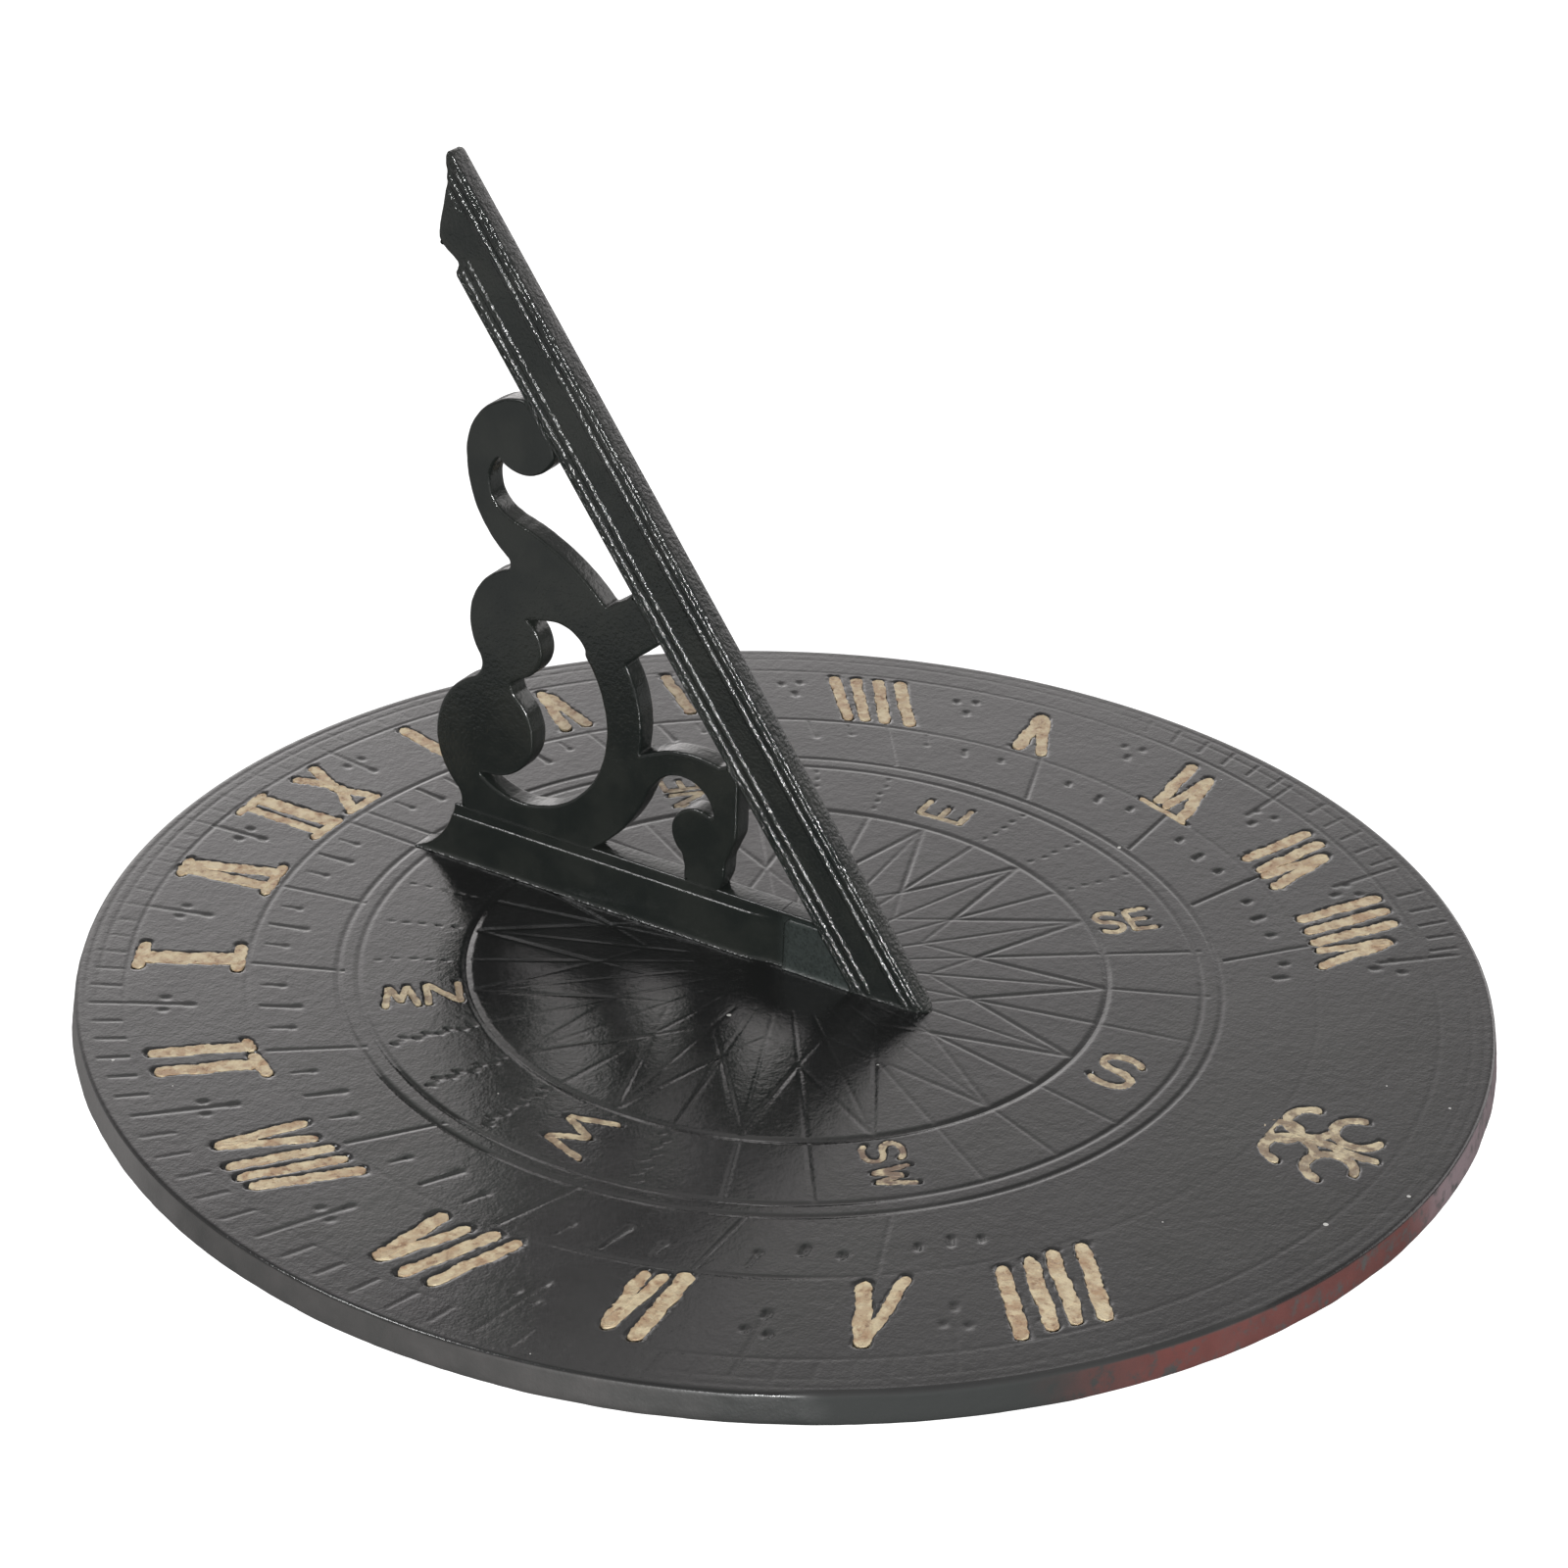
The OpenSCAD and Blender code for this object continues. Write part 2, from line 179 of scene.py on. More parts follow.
def ring_grooves(d):
    """The rings: radius, centre east and north of the middle, width, depth and wear."""
    double = d.letter_ring_radius
    return ((d.rose_radius, 0.0, 0.0, 2.4, 0.36, UNWORN),
            (double - DOUBLE_RING_GAP, -1.2, 0.9, 2.0, 0.24, UNWORN),
            (double, -1.2, 0.9, 2.0, 0.26, UNWORN),
            (d.hour_ring_radius, -1.1, 0.3, 1.9, 0.20, HOUR_WEAR),
            (d.minute_ring_radius, -0.9, 0.3, 1.8, 0.15, RIM_WEAR),
            (144.7, -0.4, 0.0, 1.3, 0.11, RIM_WEAR),
            (147.3, -0.2, 0.0, 1.3, 0.11, RIM_WEAR),
            (double + 1.5, 0.0, 0.0, 0.9, 0.5, OUTER_CUT),
            (double - 2.8, 0.0, 0.0, 0.9, 0.5, INNER_CUT))

# Each numeral: its strokes as (azimuth at the inner end, at the outer end, inner radius, outer radius, width)
NUMERALS = {
    "IIII": ((-150.2, -146.4, 115.3, 137.6, 3.0), (-147.0, -144.2, 114.7, 136.8, 2.9),
             (-144.5, -142.0, 115.0, 136.8, 2.9), (-141.5, -139.3, 116.0, 137.8, 2.9)),
    "V": ((-132.4, -127.0, 115.2, 134.5, 2.3), (-128.3, -126.8, 115.8, 135.2, 3.0)),
    "VI": ((-112.0, -109.2, 115.2, 137.0, 3.2), (-109.9, -106.7, 116.4, 134.8, 2.5),
           (-107.9, -106.8, 116.2, 134.2, 2.5)),
    "VII": ((-95.4, -91.8, 116.2, 136.0, 2.7), (-92.9, -89.2, 115.8, 136.6, 2.9),
            (-90.2, -86.6, 117.4, 134.6, 2.6), (-87.1, -86.3, 116.4, 135.0, 3.0)),
    "VIII": ((-76.0, -71.8, 115.9, 136.3, 2.8), (-73.3, -70.1, 116.0, 136.4, 2.5),
             (-71.1, -68.2, 116.0, 136.2, 2.5), (-68.8, -65.2, 116.8, 134.6, 2.4),
             (-65.8, -65.0, 115.8, 134.6, 2.6)),
    "IX": ((-53.9, -52.2, 115.8, 136.4, 3.4), (-50.6, -49.2, 116.0, 136.3, 3.3),
           (-56.2, -52.0, 115.7, 116.4, 2.4), (-51.2, -49.2, 116.0, 116.6, 2.2)),
    "X": ((-33.4, -33.0, 116.2, 136.6, 4.6), (-35.4, -30.5, 116.4, 116.2, 2.6),
          (-34.7, -30.6, 137.0, 136.8, 2.6)),
    "XI": ((-18.0, -17.0, 116.8, 138.2, 3.2), (-15.0, -15.8, 116.2, 136.4, 3.4),
           (-19.4, -13.4, 116.5, 116.8, 2.3), (-18.1, -15.2, 137.0, 137.2, 2.2)),
    "XII": ((-5.0, -4.4, 116.4, 136.8, 2.3), (-2.5, -2.3, 116.2, 136.8, 4.0),
            (-6.4, -1.4, 116.6, 116.4, 2.1), (-5.7, -1.4, 137.2, 137.4, 2.1),
            (1.2, 4.2, 117.0, 126.4, 2.5), (4.2, 2.6, 126.4, 136.4, 2.5), (4.9, 3.6, 117.0, 126.2, 2.5),
            (3.7, 5.5, 126.2, 137.0, 2.5), (0.4, 5.4, 116.6, 116.4, 2.1)),
    "I_afternoon": ((17.6, 17.2, 116.2, 136.8, 3.2), (16.4, 18.9, 116.4, 116.2, 2.1)),
    "II_afternoon": ((32.2, 33.1, 116.6, 136.6, 2.6), (35.1, 33.5, 116.6, 134.6, 2.8)),
    "III_afternoon": ((47.7, 46.3, 117.0, 137.0, 2.6), (49.9, 48.4, 117.0, 136.6, 2.6),
                      (52.0, 50.5, 117.0, 136.4, 2.6)),
    "IIII_afternoon": ((66.2, 63.7, 114.6, 136.1, 2.5), (68.3, 66.0, 114.9, 135.9, 2.5),
                       (70.7, 68.2, 114.7, 136.1, 2.7), (73.6, 70.5, 114.9, 136.4, 2.9)),
    "V_afternoon": ((87.1, 86.5, 114.7, 133.2, 3.1), (90.2, 86.8, 114.9, 132.4, 2.5)),
    "VI_afternoon": ((107.3, 104.2, 114.6, 134.6, 2.7), (108.6, 107.3, 114.0, 132.6, 2.3),
                     (111.8, 107.2, 113.4, 132.4, 2.6), (105.4, 112.6, 112.9, 112.6, 1.4)),
    "VII_afternoon": ((122.9, 120.8, 114.5, 134.9, 2.8), (125.8, 123.0, 114.9, 134.9, 2.9),
                      (126.9, 125.4, 114.5, 132.7, 2.5), (129.5, 125.6, 114.5, 132.5, 2.6)),
    "VIII_afternoon": ((136.9, 134.2, 114.6, 135.8, 2.9), (139.5, 136.4, 114.6, 135.6, 2.9),
                       (142.0, 138.8, 114.8, 135.6, 2.9), (143.6, 142.0, 115.2, 131.8, 2.3),
                       (146.7, 142.2, 114.4, 132.2, 2.5)),
}

# A letter's box is 1 wide and 1 high; its strokes are given as corners. The S is in letter_lines.
LETTER_SHAPES = {
    "N": (((0.0, 0.0), (0.05, 1.0)), ((0.05, 1.0), (0.95, 0.0)), ((0.95, 0.0), (1.0, 1.0))),
    "E": (((0.0, 0.0), (0.0, 1.0)), ((0.0, 0.02), (1.0, 0.0)), ((0.0, 0.5), (0.8, 0.5)),
          ((0.0, 1.0), (1.0, 1.0))),
    "W": (((0.0, 1.0), (0.22, 0.0)), ((0.22, 0.0), (0.5, 0.75)), ((0.5, 0.75), (0.76, 0.0)),
          ((0.76, 0.0), (1.0, 1.0))),
}
# Each compass mark: azimuth, radius of the word's middle, and height, width and stroke width of a letter
LETTERS = (("NE", 41.4, 78.6, 8.4, 5.6, 1.3), ("E", 86.8, 77.6, 10.3, 7.0, 1.3),
           ("SE", 132.6, 76.8, 8.0, 5.2, 1.2), ("S", 179.3, 78.0, 11.0, 8.8, 1.6),
           ("SW", -135.8, 77.9, 8.2, 6.2, 1.15), ("W", -89.7, 79.2, 10.4, 14.4, 1.5),
           ("NW", -43.5, 78.3, 7.9, 7.0, 1.3))


def polar(azimuth, radius):
    """Point on the face at an azimuth in degrees, clockwise from north, and a radius: x east, y north."""
    angle = np.radians(azimuth)
    return np.stack([radius * np.sin(angle), radius * np.cos(angle)], axis=-1)


def hour_bearing(hours):
    """Bearing of an hour line: its tangent is the latitude's sine times the tangent of the hour angle."""
    angle = np.radians(15.0 * np.asarray(hours, float))
    sine = math.sin(math.radians(bpy.context.scene.sundial_dial.latitude))
    return np.degrees(np.arctan2(sine * np.sin(angle), np.cos(angle)))


def reach(centre_x, centre_y, bearing, radius):
    """Where a ray from (centre_x, centre_y) along a bearing meets the circle of a radius about the origin."""
    sx, sy = np.sin(np.radians(bearing)), np.cos(np.radians(bearing))
    along = centre_x * sx + centre_y * sy
    length = -along + np.sqrt(along ** 2 - centre_x ** 2 - centre_y ** 2 + radius ** 2)
    return centre_x + length * sx, centre_y + length * sy


def on_rays(strokes, ray_centre, radius):
    """Azimuths, on a circle, of the rays from (0, ray_centre) through each stroke's ends and middle."""
    ends = np.array([stroke[:4] for stroke in strokes])
    x = np.concatenate([ends[:, 0], ends[:, 2], (ends[:, 0] + ends[:, 2]) / 2])
    y = np.concatenate([ends[:, 1], ends[:, 3], (ends[:, 1] + ends[:, 3]) / 2])
    bearing = np.degrees(np.arctan2(x, y - ray_centre))
    east, north = reach(0.0, ray_centre, bearing, radius)
    return np.unique(np.round(np.degrees(np.arctan2(east, north)), 1))


def value_noise(x, y, cell, seed):
    """Smooth random surface between -1 and 1: random lattice values blended by the cubic fade 3t^2 - 2t^3."""
    table = np.random.default_rng(seed).uniform(-1.0, 1.0, (128, 128))
    gx, gy = x / cell, y / cell
    ix, iy = np.floor(gx).astype(int), np.floor(gy).astype(int)
    fx, fy = gx - ix, gy - iy
    fx, fy = fx * fx * (3 - 2 * fx), fy * fy * (3 - 2 * fy)
    ix, iy = ix % 128, iy % 128
    jx, jy = (ix + 1) % 128, (iy + 1) % 128
    low = table[ix, iy] * (1 - fx) + table[jx, iy] * fx
    high = table[ix, jy] * (1 - fx) + table[jx, jy] * fx
    return low * (1 - fy) + high * fy


def smooth_step(value, low, high):
    """0 below low, 1 above high and 3t^2 - 2t^3 between."""
    t = np.clip((value - low) / (high - low), 0.0, 1.0)
    return t * t * (3 - 2 * t)


def noise_sum(x, y, *layers):
    """Sum of smooth random surfaces, each given as its height, cell and seed."""
    return sum(height * value_noise(x, y, cell, seed) for height, cell, seed in layers)


def wrap(azimuth):
    """An azimuth brought between -180 and 180 degrees."""
    return (azimuth + 180.0) % 360.0 - 180.0


def beside(azimuth, here):
    """An azimuth brought within half a turn of another."""
    return azimuth + 360.0 * (azimuth < here - 180.0) - 360.0 * (azimuth > here + 180.0)


def near_stroke(x, y, stroke, margin):
    """Points in the box around a stroke: their mask, their share of the way along it and distance from it."""
    ax, ay, bx, by = stroke[:4]
    near = ((x > min(ax, bx) - margin) & (x < max(ax, bx) + margin)
            & (y > min(ay, by) - margin) & (y < max(ay, by) + margin))
    px, py = x[near], y[near]
    length2 = max((bx - ax) ** 2 + (by - ay) ** 2, 1e-9)
    t = np.clip(((px - ax) * (bx - ax) + (py - ay) * (by - ay)) / length2, 0.0, 1.0)
    return near, t, np.hypot(px - ax - t * (bx - ax), py - ay - t * (by - ay))


def stroke_depth(x, y, strokes):
    """Depth cut by straight strokes with round ends: depth (1 - q^2)^2 of the distance q in half widths.

    A stroke is x, y of both ends, its width at both ends and its depth. Overlapping strokes take the deeper.
    """
    cut = np.zeros(x.shape)
    for stroke in strokes:
        width_a, width_b, depth = stroke[4:]
        near, t, away = near_stroke(x, y, stroke, max(width_a, width_b) / 2)
        q = np.clip(away / ((width_a + t * (width_b - width_a)) / 2), 0.0, 1.0)
        cut[near] = np.maximum(cut[near], depth * (1 - q * q) ** 2)
    return cut


def recess_depth(x, y, strokes):
    """Depth of the flat-floored recesses under the gold: full in the stroke, soft and ragged at its sides.

    A stroke here is x, y of both ends and its width.
    """
    cut = np.zeros(x.shape)
    ragged = noise_sum(x, y, (0.22, 1.3, 34), (0.1, 0.6, 35))
    for stroke in strokes:
        half = stroke[4] / 2
        near, _, away = near_stroke(x, y, stroke, half + 0.9)
        share = 1 - smooth_step(away + ragged[near], half - 0.25, half + 0.18)
        cut[near] = np.maximum(cut[near], RECESS_DEPTH * share)
    return cut


def score(azimuth_a, radius_a, azimuth_b, radius_b, width_a=SCORE, width_b=SCORE, depth=SCORE_DEPTH):
    """One straight stroke between two places on the face."""
    return (*polar(azimuth_a, radius_a), *polar(azimuth_b, radius_b), width_a, width_b, depth)


def hour_stroke(hours, radius_a, radius_b, width_a=SCORE, width_b=SCORE, depth=SCORE_DEPTH):
    """A stroke along the hour line of a time in hours after noon, between two radii."""
    centre = (math.copysign(gnomon().half, hours), -dial().hour_centre)
    bearing = float(hour_bearing(hours)) + hand_drift(hours)
    return (*reach(*centre, bearing, radius_a), *reach(*centre, bearing, radius_b), width_a, width_b, depth)


def hand_drift(hours):
    """The engraver's drift from the true bearing, in degrees: the outermost lines lie too far round."""
    return -3.4 * float(smooth_step(-hours, 3.2, 7.6)) + 2.0 * float(smooth_step(hours, 7.3, 8.0))


def hour_scale_strokes():
    """Hour lines across the hour ring, and teardrop ticks at the halves and quarters."""
    d = dial()
    rng = np.random.default_rng(11)
    inner, outer = d.letter_ring_radius, d.hour_ring_radius
    strokes = [(side * 3.0, inner, side * 2.95, outer, SCORE, SCORE, SCORE_DEPTH) for side in (-1, 1)]
    for hours in [k / 4 for k in range(-32, 35) if k != 0]:
        on_hour, on_half = hours % 1 == 0, hours % 1 == 0.5
        jitter = rng.uniform(-0.5, 0.5)
        if on_hour:
            depth = SCORE_DEPTH * (0.4 if hours < -6.5 else 1.15 if hours == -6.0 else 1.0)
            strokes.append(hour_stroke(hours, inner + 0.3, outer, 1.5, 1.2, depth))
        elif hours > 4.4 or hours < -6.4:   # early and late, a short deep dash alone
            start = outer - (8.8 if on_half else 7.2) + jitter
            strokes.append(hour_stroke(hours, start, start + (2.4 if on_half else 1.2), 2.2, 1.9, 0.46))
        elif on_half:
            strokes.append(hour_stroke(hours, outer - 9.6 + jitter, outer - 1.5, 2.1, 0.9, 0.36))
            strokes.append(hour_stroke(hours, outer - 9.4 + jitter, outer - 7.8 + jitter, 2.4, 1.8, 0.38))
        else:
            strokes.append(hour_stroke(hours, outer - 6.6 + jitter, outer - 2.2, 1.5, 0.7, 0.25))
            strokes.append(hour_stroke(hours, outer - 6.7 + jitter, outer - 6.2 + jitter, 2.2, 1.9, 0.36))
    return strokes


def half_hour_strokes():
    """Half-hour marks: three punch marks, and a tapering line but for those of 3 to 6 o'clock."""
    d = dial()
    rng = np.random.default_rng(12)
    strokes = []
    for hours in np.arange(-7.5, 9.0, 1.0):
        shift = rng.uniform(-0.6, 0.6, 3)
        outer = d.minute_ring_radius + (6.6 if hours < -2.6 or hours > 6 else 1.0)
        if hours < 3 or hours > 6:
            strokes.append(hour_stroke(hours - 0.08 * (hours > 6), 127.6 + shift[0], outer, 1.7, 0.95,
                                       0.12 if hours < -5 else 0.28))
        strokes.append(hour_stroke(hours, PUNCHED[0] + shift[0], PUNCHED[1] + shift[0], 2.5, 2.2, 0.42))
        middle = np.array(hour_stroke(hours, PUNCHED_PAIR, PUNCHED_PAIR + 0.7)[:2])
        across = polar(float(hour_bearing(hours)) + 90.0, 1.0)
        for side, stray in ((-1, shift[1]), (1, shift[2])):
            spot = middle + across * side * (2.3 + 0.3 * stray)
            end = spot + polar(float(hour_bearing(hours)), 0.7)
            strokes.append((*spot, *end, 2.6, 2.2, 0.4))
    return strokes


def minute_strokes():
    """Ten-minute ticks in the minute ring, as single soft dashes that are worn away in places."""
    rng = np.random.default_rng(13)
    strokes = []
    for step in range(-50, 52):
        shift = rng.uniform(-0.5, 0.5, 2)
        stroke = hour_stroke(step / 6 + 1e-6, MINUTE_TICK[0] + shift[0], MINUTE_TICK[1] + shift[1],
                             1.15, 0.95, 0.24)
        azimuth = math.degrees(math.atan2(stroke[0], stroke[1]))
        left = float(np.interp(azimuth, *np.array(TICK_WEAR).T))
        if left > 0.05 and (step % 6 != 3 or -2.6 < step / 6 < 6):
            strokes.append((*stroke[:6], stroke[6] * left))
    return strokes


def rose_turn(index):
    """Azimuth of a rose point, as the engraver set it out: the east side lags and the north-west leads."""
    wrapped = wrap(360.0 / ROSE_POINTS * np.asarray(index, float))
    lag = -3.3 * smooth_step(wrapped, 4.0, 40.0) * (1 - smooth_step(wrapped, 135.0, 185.0))
    lead = 1.8 * smooth_step(-wrapped, 10.0, 45.0) * (1 - smooth_step(-wrapped, 60.0, 90.0))
    return wrapped + lag + lead - 0.6


def rose_strokes():
    """Compass rose: straight edges from each point through the valleys, a ridge line, and rays to the circle.

    The strokes are worn fainter in the west.
    """
    circle = dial().rose_radius
    rng = np.random.default_rng(14)
    strokes = []
    for k in range(ROSE_POINTS):
        here = rose_turn(k)
        after, before = beside(rose_turn(k + 1), here), beside(rose_turn(k - 1), here)
        left = 0.62 if -172.0 < here < -30.0 else 1.0
        for beyond in (after, before):
            middle = (here + beyond) / 2
            valley = ROSE_VALLEY + rng.uniform(-1.2, 1.2)
            turn = beyond - 0.12 * (beyond - middle)
            strokes.append(score(here, circle - 0.6, middle, valley, 1.7, 1.55, 0.28 * left))
            strokes.append(score(middle, valley, turn, 31.0, 1.5, 1.1, 0.13 * left))
        strokes.append(score(here, circle - 1.0, here, 22.0, 1.0, 1.3, 0.16 * left))
        middle = (here + after) / 2
        strokes.append(score(middle, circle, middle, ROSE_VALLEY, 1.35, 1.5, 0.24 * left))
        strokes.append(score(middle, ROSE_VALLEY, middle, RIDGE_END, 1.2, 1.1, 0.14 * left))
    return strokes


def letter_ring_strokes():
    """Marks between the letters at every sixteenth and half of it.

    They are rough rows of punch marks in the west, short dashes in the north and east and faint lines in the
    south.
    """
    d = dial()
    rng = np.random.default_rng(15)
    inner, outer = d.rose_radius + 2.4, d.letter_ring_radius - DOUBLE_RING_GAP - 1.6
    strokes = []
    for half in range(2 * ROSE_POINTS):
        if half % 4 == 0:
            continue
        here = rose_turn(half // 2)
        azimuth = wrap((here + beside(rose_turn(half // 2 + half % 2), here)) / 2)
        if azimuth < -110.0 or azimuth > 128.0:
            faint = 0.13 if azimuth < -140.0 or azimuth > 160.0 else 0.2
            strokes.append(score(azimuth, inner - 2.0, azimuth, outer + 1.6, 1.3, 1.3, faint))
        elif azimuth < -45.0:
            for k, radius in enumerate(np.linspace(inner, outer, 8)):
                spread = 0.42 * (-1) ** k + rng.uniform(-0.3, 0.3)
                size = rng.uniform(1.5, 2.1)
                strokes.append(score(azimuth + spread, radius, azimuth + spread + 0.5, radius + 0.7,
                                     size, size * 0.8, rng.uniform(0.3, 0.46)))
            strokes.append(score(azimuth, inner, azimuth, outer, 1.0, 1.0, 0.14))
        else:
            wide, long_mark, deep = (1.7, 0.5, 0.22) if azimuth > 45.0 else (1.15, 1.1, 0.24)
            for radius in inner + 1.2 + 3.6 * np.arange(5):
                a = polar(azimuth + rng.uniform(-0.25, 0.25), radius + rng.uniform(-0.3, 0.3))
                b = a + polar(azimuth + rng.uniform(-12, 12), long_mark)
                strokes.append((*a, *b, wide, wide * 0.85, deep * rng.uniform(0.8, 1.2)))
    return strokes


# Paths and the gold's strokes along them

PATH_STEP = 0.45      # spacing of points along a numeral's stroke
LETTER_STEP = 0.4
LETTER_GAP = 2.2
CLOSED_WITHIN = 0.2   # a path whose ends lie this close is a closed one


def run_along(points):
    """Distance of each point of a polyline from its first, along the line."""
    return np.concatenate([[0.0], np.cumsum(np.hypot(*np.diff(points, axis=0).T))])


def sample_path(points, run, at):
    """Places at given distances along a polyline."""
    return np.stack([np.interp(at, run, points[:, k]) for k in (0, 1)], axis=1)


def left_of(directions):
    """Unit vectors square to the given directions, on their left."""
    units = directions / np.hypot(directions[:, 0], directions[:, 1])[:, None]
    return np.stack([-units[:, 1], units[:, 0]], axis=1)


def bend_path(points, spacing, sigma):
    """Points every spacing along a polyline, its corners eased by a Gaussian of sigma mm."""
    points = np.asarray(points, float)
    run = run_along(points)
    even = sample_path(points, run, np.linspace(0, run[-1], max(int(run[-1] / spacing), 4) + 1))
    if sigma <= 0:
        return even
    width = int(3 * sigma / spacing) + 1
    kernel = np.exp(-0.5 * (np.arange(-width, width + 1) * spacing / sigma) ** 2)
    kernel /= kernel.sum()
    padded = np.pad(even, ((width, width), (0, 0)), mode="reflect", reflect_type="odd")
    return np.stack([np.convolve(padded[:, k], kernel, "valid") for k in (0, 1)], axis=1)


def numeral_paths():
    """Centre line and width of each numeral stroke, with the small wander of a hand-cut letter."""
    rng = np.random.default_rng(21)
    paths = []
    for azimuth_a, azimuth_b, radius_a, radius_b, width in sum(NUMERALS.values(), ()):
        ends = np.array([polar(azimuth_a, radius_a), polar(azimuth_b, radius_b)])
        ends += 0.3 * (ends - ends[::-1]) / np.hypot(*(ends[1] - ends[0]))
        line = bend_path(ends, PATH_STEP, 0)
        along = np.linspace(0, 1, len(line))
        wander = 0.22 * value_noise(along * 18 + rng.uniform(0, 90), along * 0, 4.0, 22)
        paths.append((line + wander[:, None] * left_of(ends[1:] - ends[:1]), width))
    return paths


def letter_paths():
    """Centre lines of the compass letters, which read outwards along the radius."""
    paths = []
    for word, azimuth, radius, height, width, stroke in LETTERS:
        outward, upward = polar(azimuth, 1.0), polar(azimuth - 90.0, 1.0)
        for k, letter in enumerate(word):
            left = (k - len(word) / 2) * (width + LETTER_GAP) + LETTER_GAP / 2
            for shape in letter_lines(letter):
                corner = np.asarray(shape)
                local = (outward * (radius + left + corner[:, :1] * width)
                         + upward * ((corner[:, 1:] - 0.5) * height))
                paths.append((bend_path(local, LETTER_STEP, 0.5 if letter == "S" else 0.0), stroke))
    return paths


def letter_lines(letter):
    """A letter's strokes in its box. The S is one path along two joined arcs."""
    if letter != "S":
        return LETTER_SHAPES[letter]
    upper = np.radians(np.linspace(20, 250, 12))
    lower = np.radians(np.linspace(70, -160, 12))
    top = np.stack([0.5 + 0.48 * np.cos(upper), 0.76 + 0.25 * np.sin(upper)], axis=1)
    bottom = np.stack([0.5 + 0.5 * np.cos(lower), 0.25 + 0.26 * np.sin(lower)], axis=1)
    return (np.concatenate([top, bottom]),)


def arc(centre, radius, start, end, count=8):
    """Points on a circular arc from one angle to another, in degrees."""
    angle = np.radians(np.linspace(start, end, count + 1))
    return np.stack([centre[0] + radius * np.cos(angle), centre[1] + radius * np.sin(angle)], axis=1)


def sprig_paths():
    """A generic sprig at the south edge: a wavy stem, paired curling leaves and a ring flower."""
    stem = np.array([(0.2, -11.4), (-0.4, -6.0), (0.3, -0.5), (0.0, 5.2)])
    lines = [(stem, 2.1), (arc((0.0, 9.0), 3.25, -90, 270, 28), 1.9)]
    for side in (-1, 1):
        for centre, width in (((7.2, -4.0), 2.0), ((5.6, 5.5), 1.9)):
            lines.append((arc(centre, 5.0, 0, 270, 26) * (side, 1.0), width))
    return [(bend_path(points + (0.0, -125.0), LETTER_STEP, 0.4), width) for points, width in lines]


def is_closed(line):
    """Whether a path ends where it starts."""
    return np.hypot(*(line[0] - line[-1])) < CLOSED_WITHIN


def path_strokes(paths):
    """The recess under each gold path, as short straight pieces that end a little before the path does."""
    strokes = []
    for line, width in paths:
        trim = int((width / 2 - 0.45) / PATH_STEP)
        if trim > 0 and not is_closed(line):
            line = line[trim:-trim]
        picked = line[::3] if (len(line) - 1) % 3 == 0 else np.concatenate([line[::3], line[-1:]])
        strokes.extend((*a, *b, width) for a, b in zip(picked[:-1], picked[1:]))
    return strokes


def ring_depth(radius, at, width, depth):
    """Depth of a soft concentric groove: depth (1 - q^2)^2 of the distance in half widths."""
    q = np.clip(np.abs(radius - at) / (width / 2), 0.0, 1.0)
    return depth * (1 - q * q) ** 2


def face_height(x, y, strokes, recesses):
    """Height of the engraved face: the top, minus rings, strokes and recesses, plus a slight waviness."""
    d = dial()
    azimuth = np.degrees(np.arctan2(x, y))
    rings = np.zeros(x.shape)
    for at, east, north, width, depth, wear in ring_grooves(d):
        left = np.interp(azimuth, *np.array(wear, float).T)
        rings = np.maximum(rings, ring_depth(np.hypot(x - east, y - north), at, width, depth * left))
    worn = 0.76 + 0.24 * value_noise(x, y, 22.0, 31)
    waves = noise_sum(x, y, (0.035, 26.0, 32), (0.02, 7.0, 33), (0.005, 3.1, 36))
    start, width, drop = ROUNDING
    edge = np.clip((np.hypot(x, y) - start) / width, 0.0, 1.0)
    cuts = np.maximum(rings, stroke_depth(x, y, strokes)) * worn
    cuts = np.maximum(cuts, recess_depth(x, y, recesses))
    return d.plate_top - FACE_DROP - cuts + waves * (1 - edge) - drop * edge ** 3


# Turning arrays into meshes


def grid_faces(rows, columns, closed, offset=0):
    """Quads of a grid of points, row by row; closed joins the last column to the first."""
    wide = columns if closed else columns - 1
    r, c = np.meshgrid(np.arange(rows - 1), np.arange(wide), indexing="ij")
    after = (c + 1) % columns
    quads = np.stack([r * columns + c, r * columns + after, (r + 1) * columns + after, (r + 1) * columns + c],
                     axis=-1)
    return quads.reshape(-1, 4) + offset


def closed_parts(parts):
    """Points and faces of several closed solids as one list of each."""
    points, faces, offset = [], [], 0
    for part_points, part_faces in parts:
        part_points = np.asarray(part_points, float).reshape(-1, 3)
        points.append(part_points)
        faces.extend(np.asarray(group, np.int64) + offset for group in part_faces)
        offset += len(part_points)
    return np.concatenate(points), faces


def link(name, data):
    """A new object with its data, linked to the scene."""
    made = bpy.data.objects.new(name, data)
    bpy.context.scene.collection.objects.link(made)
    return made


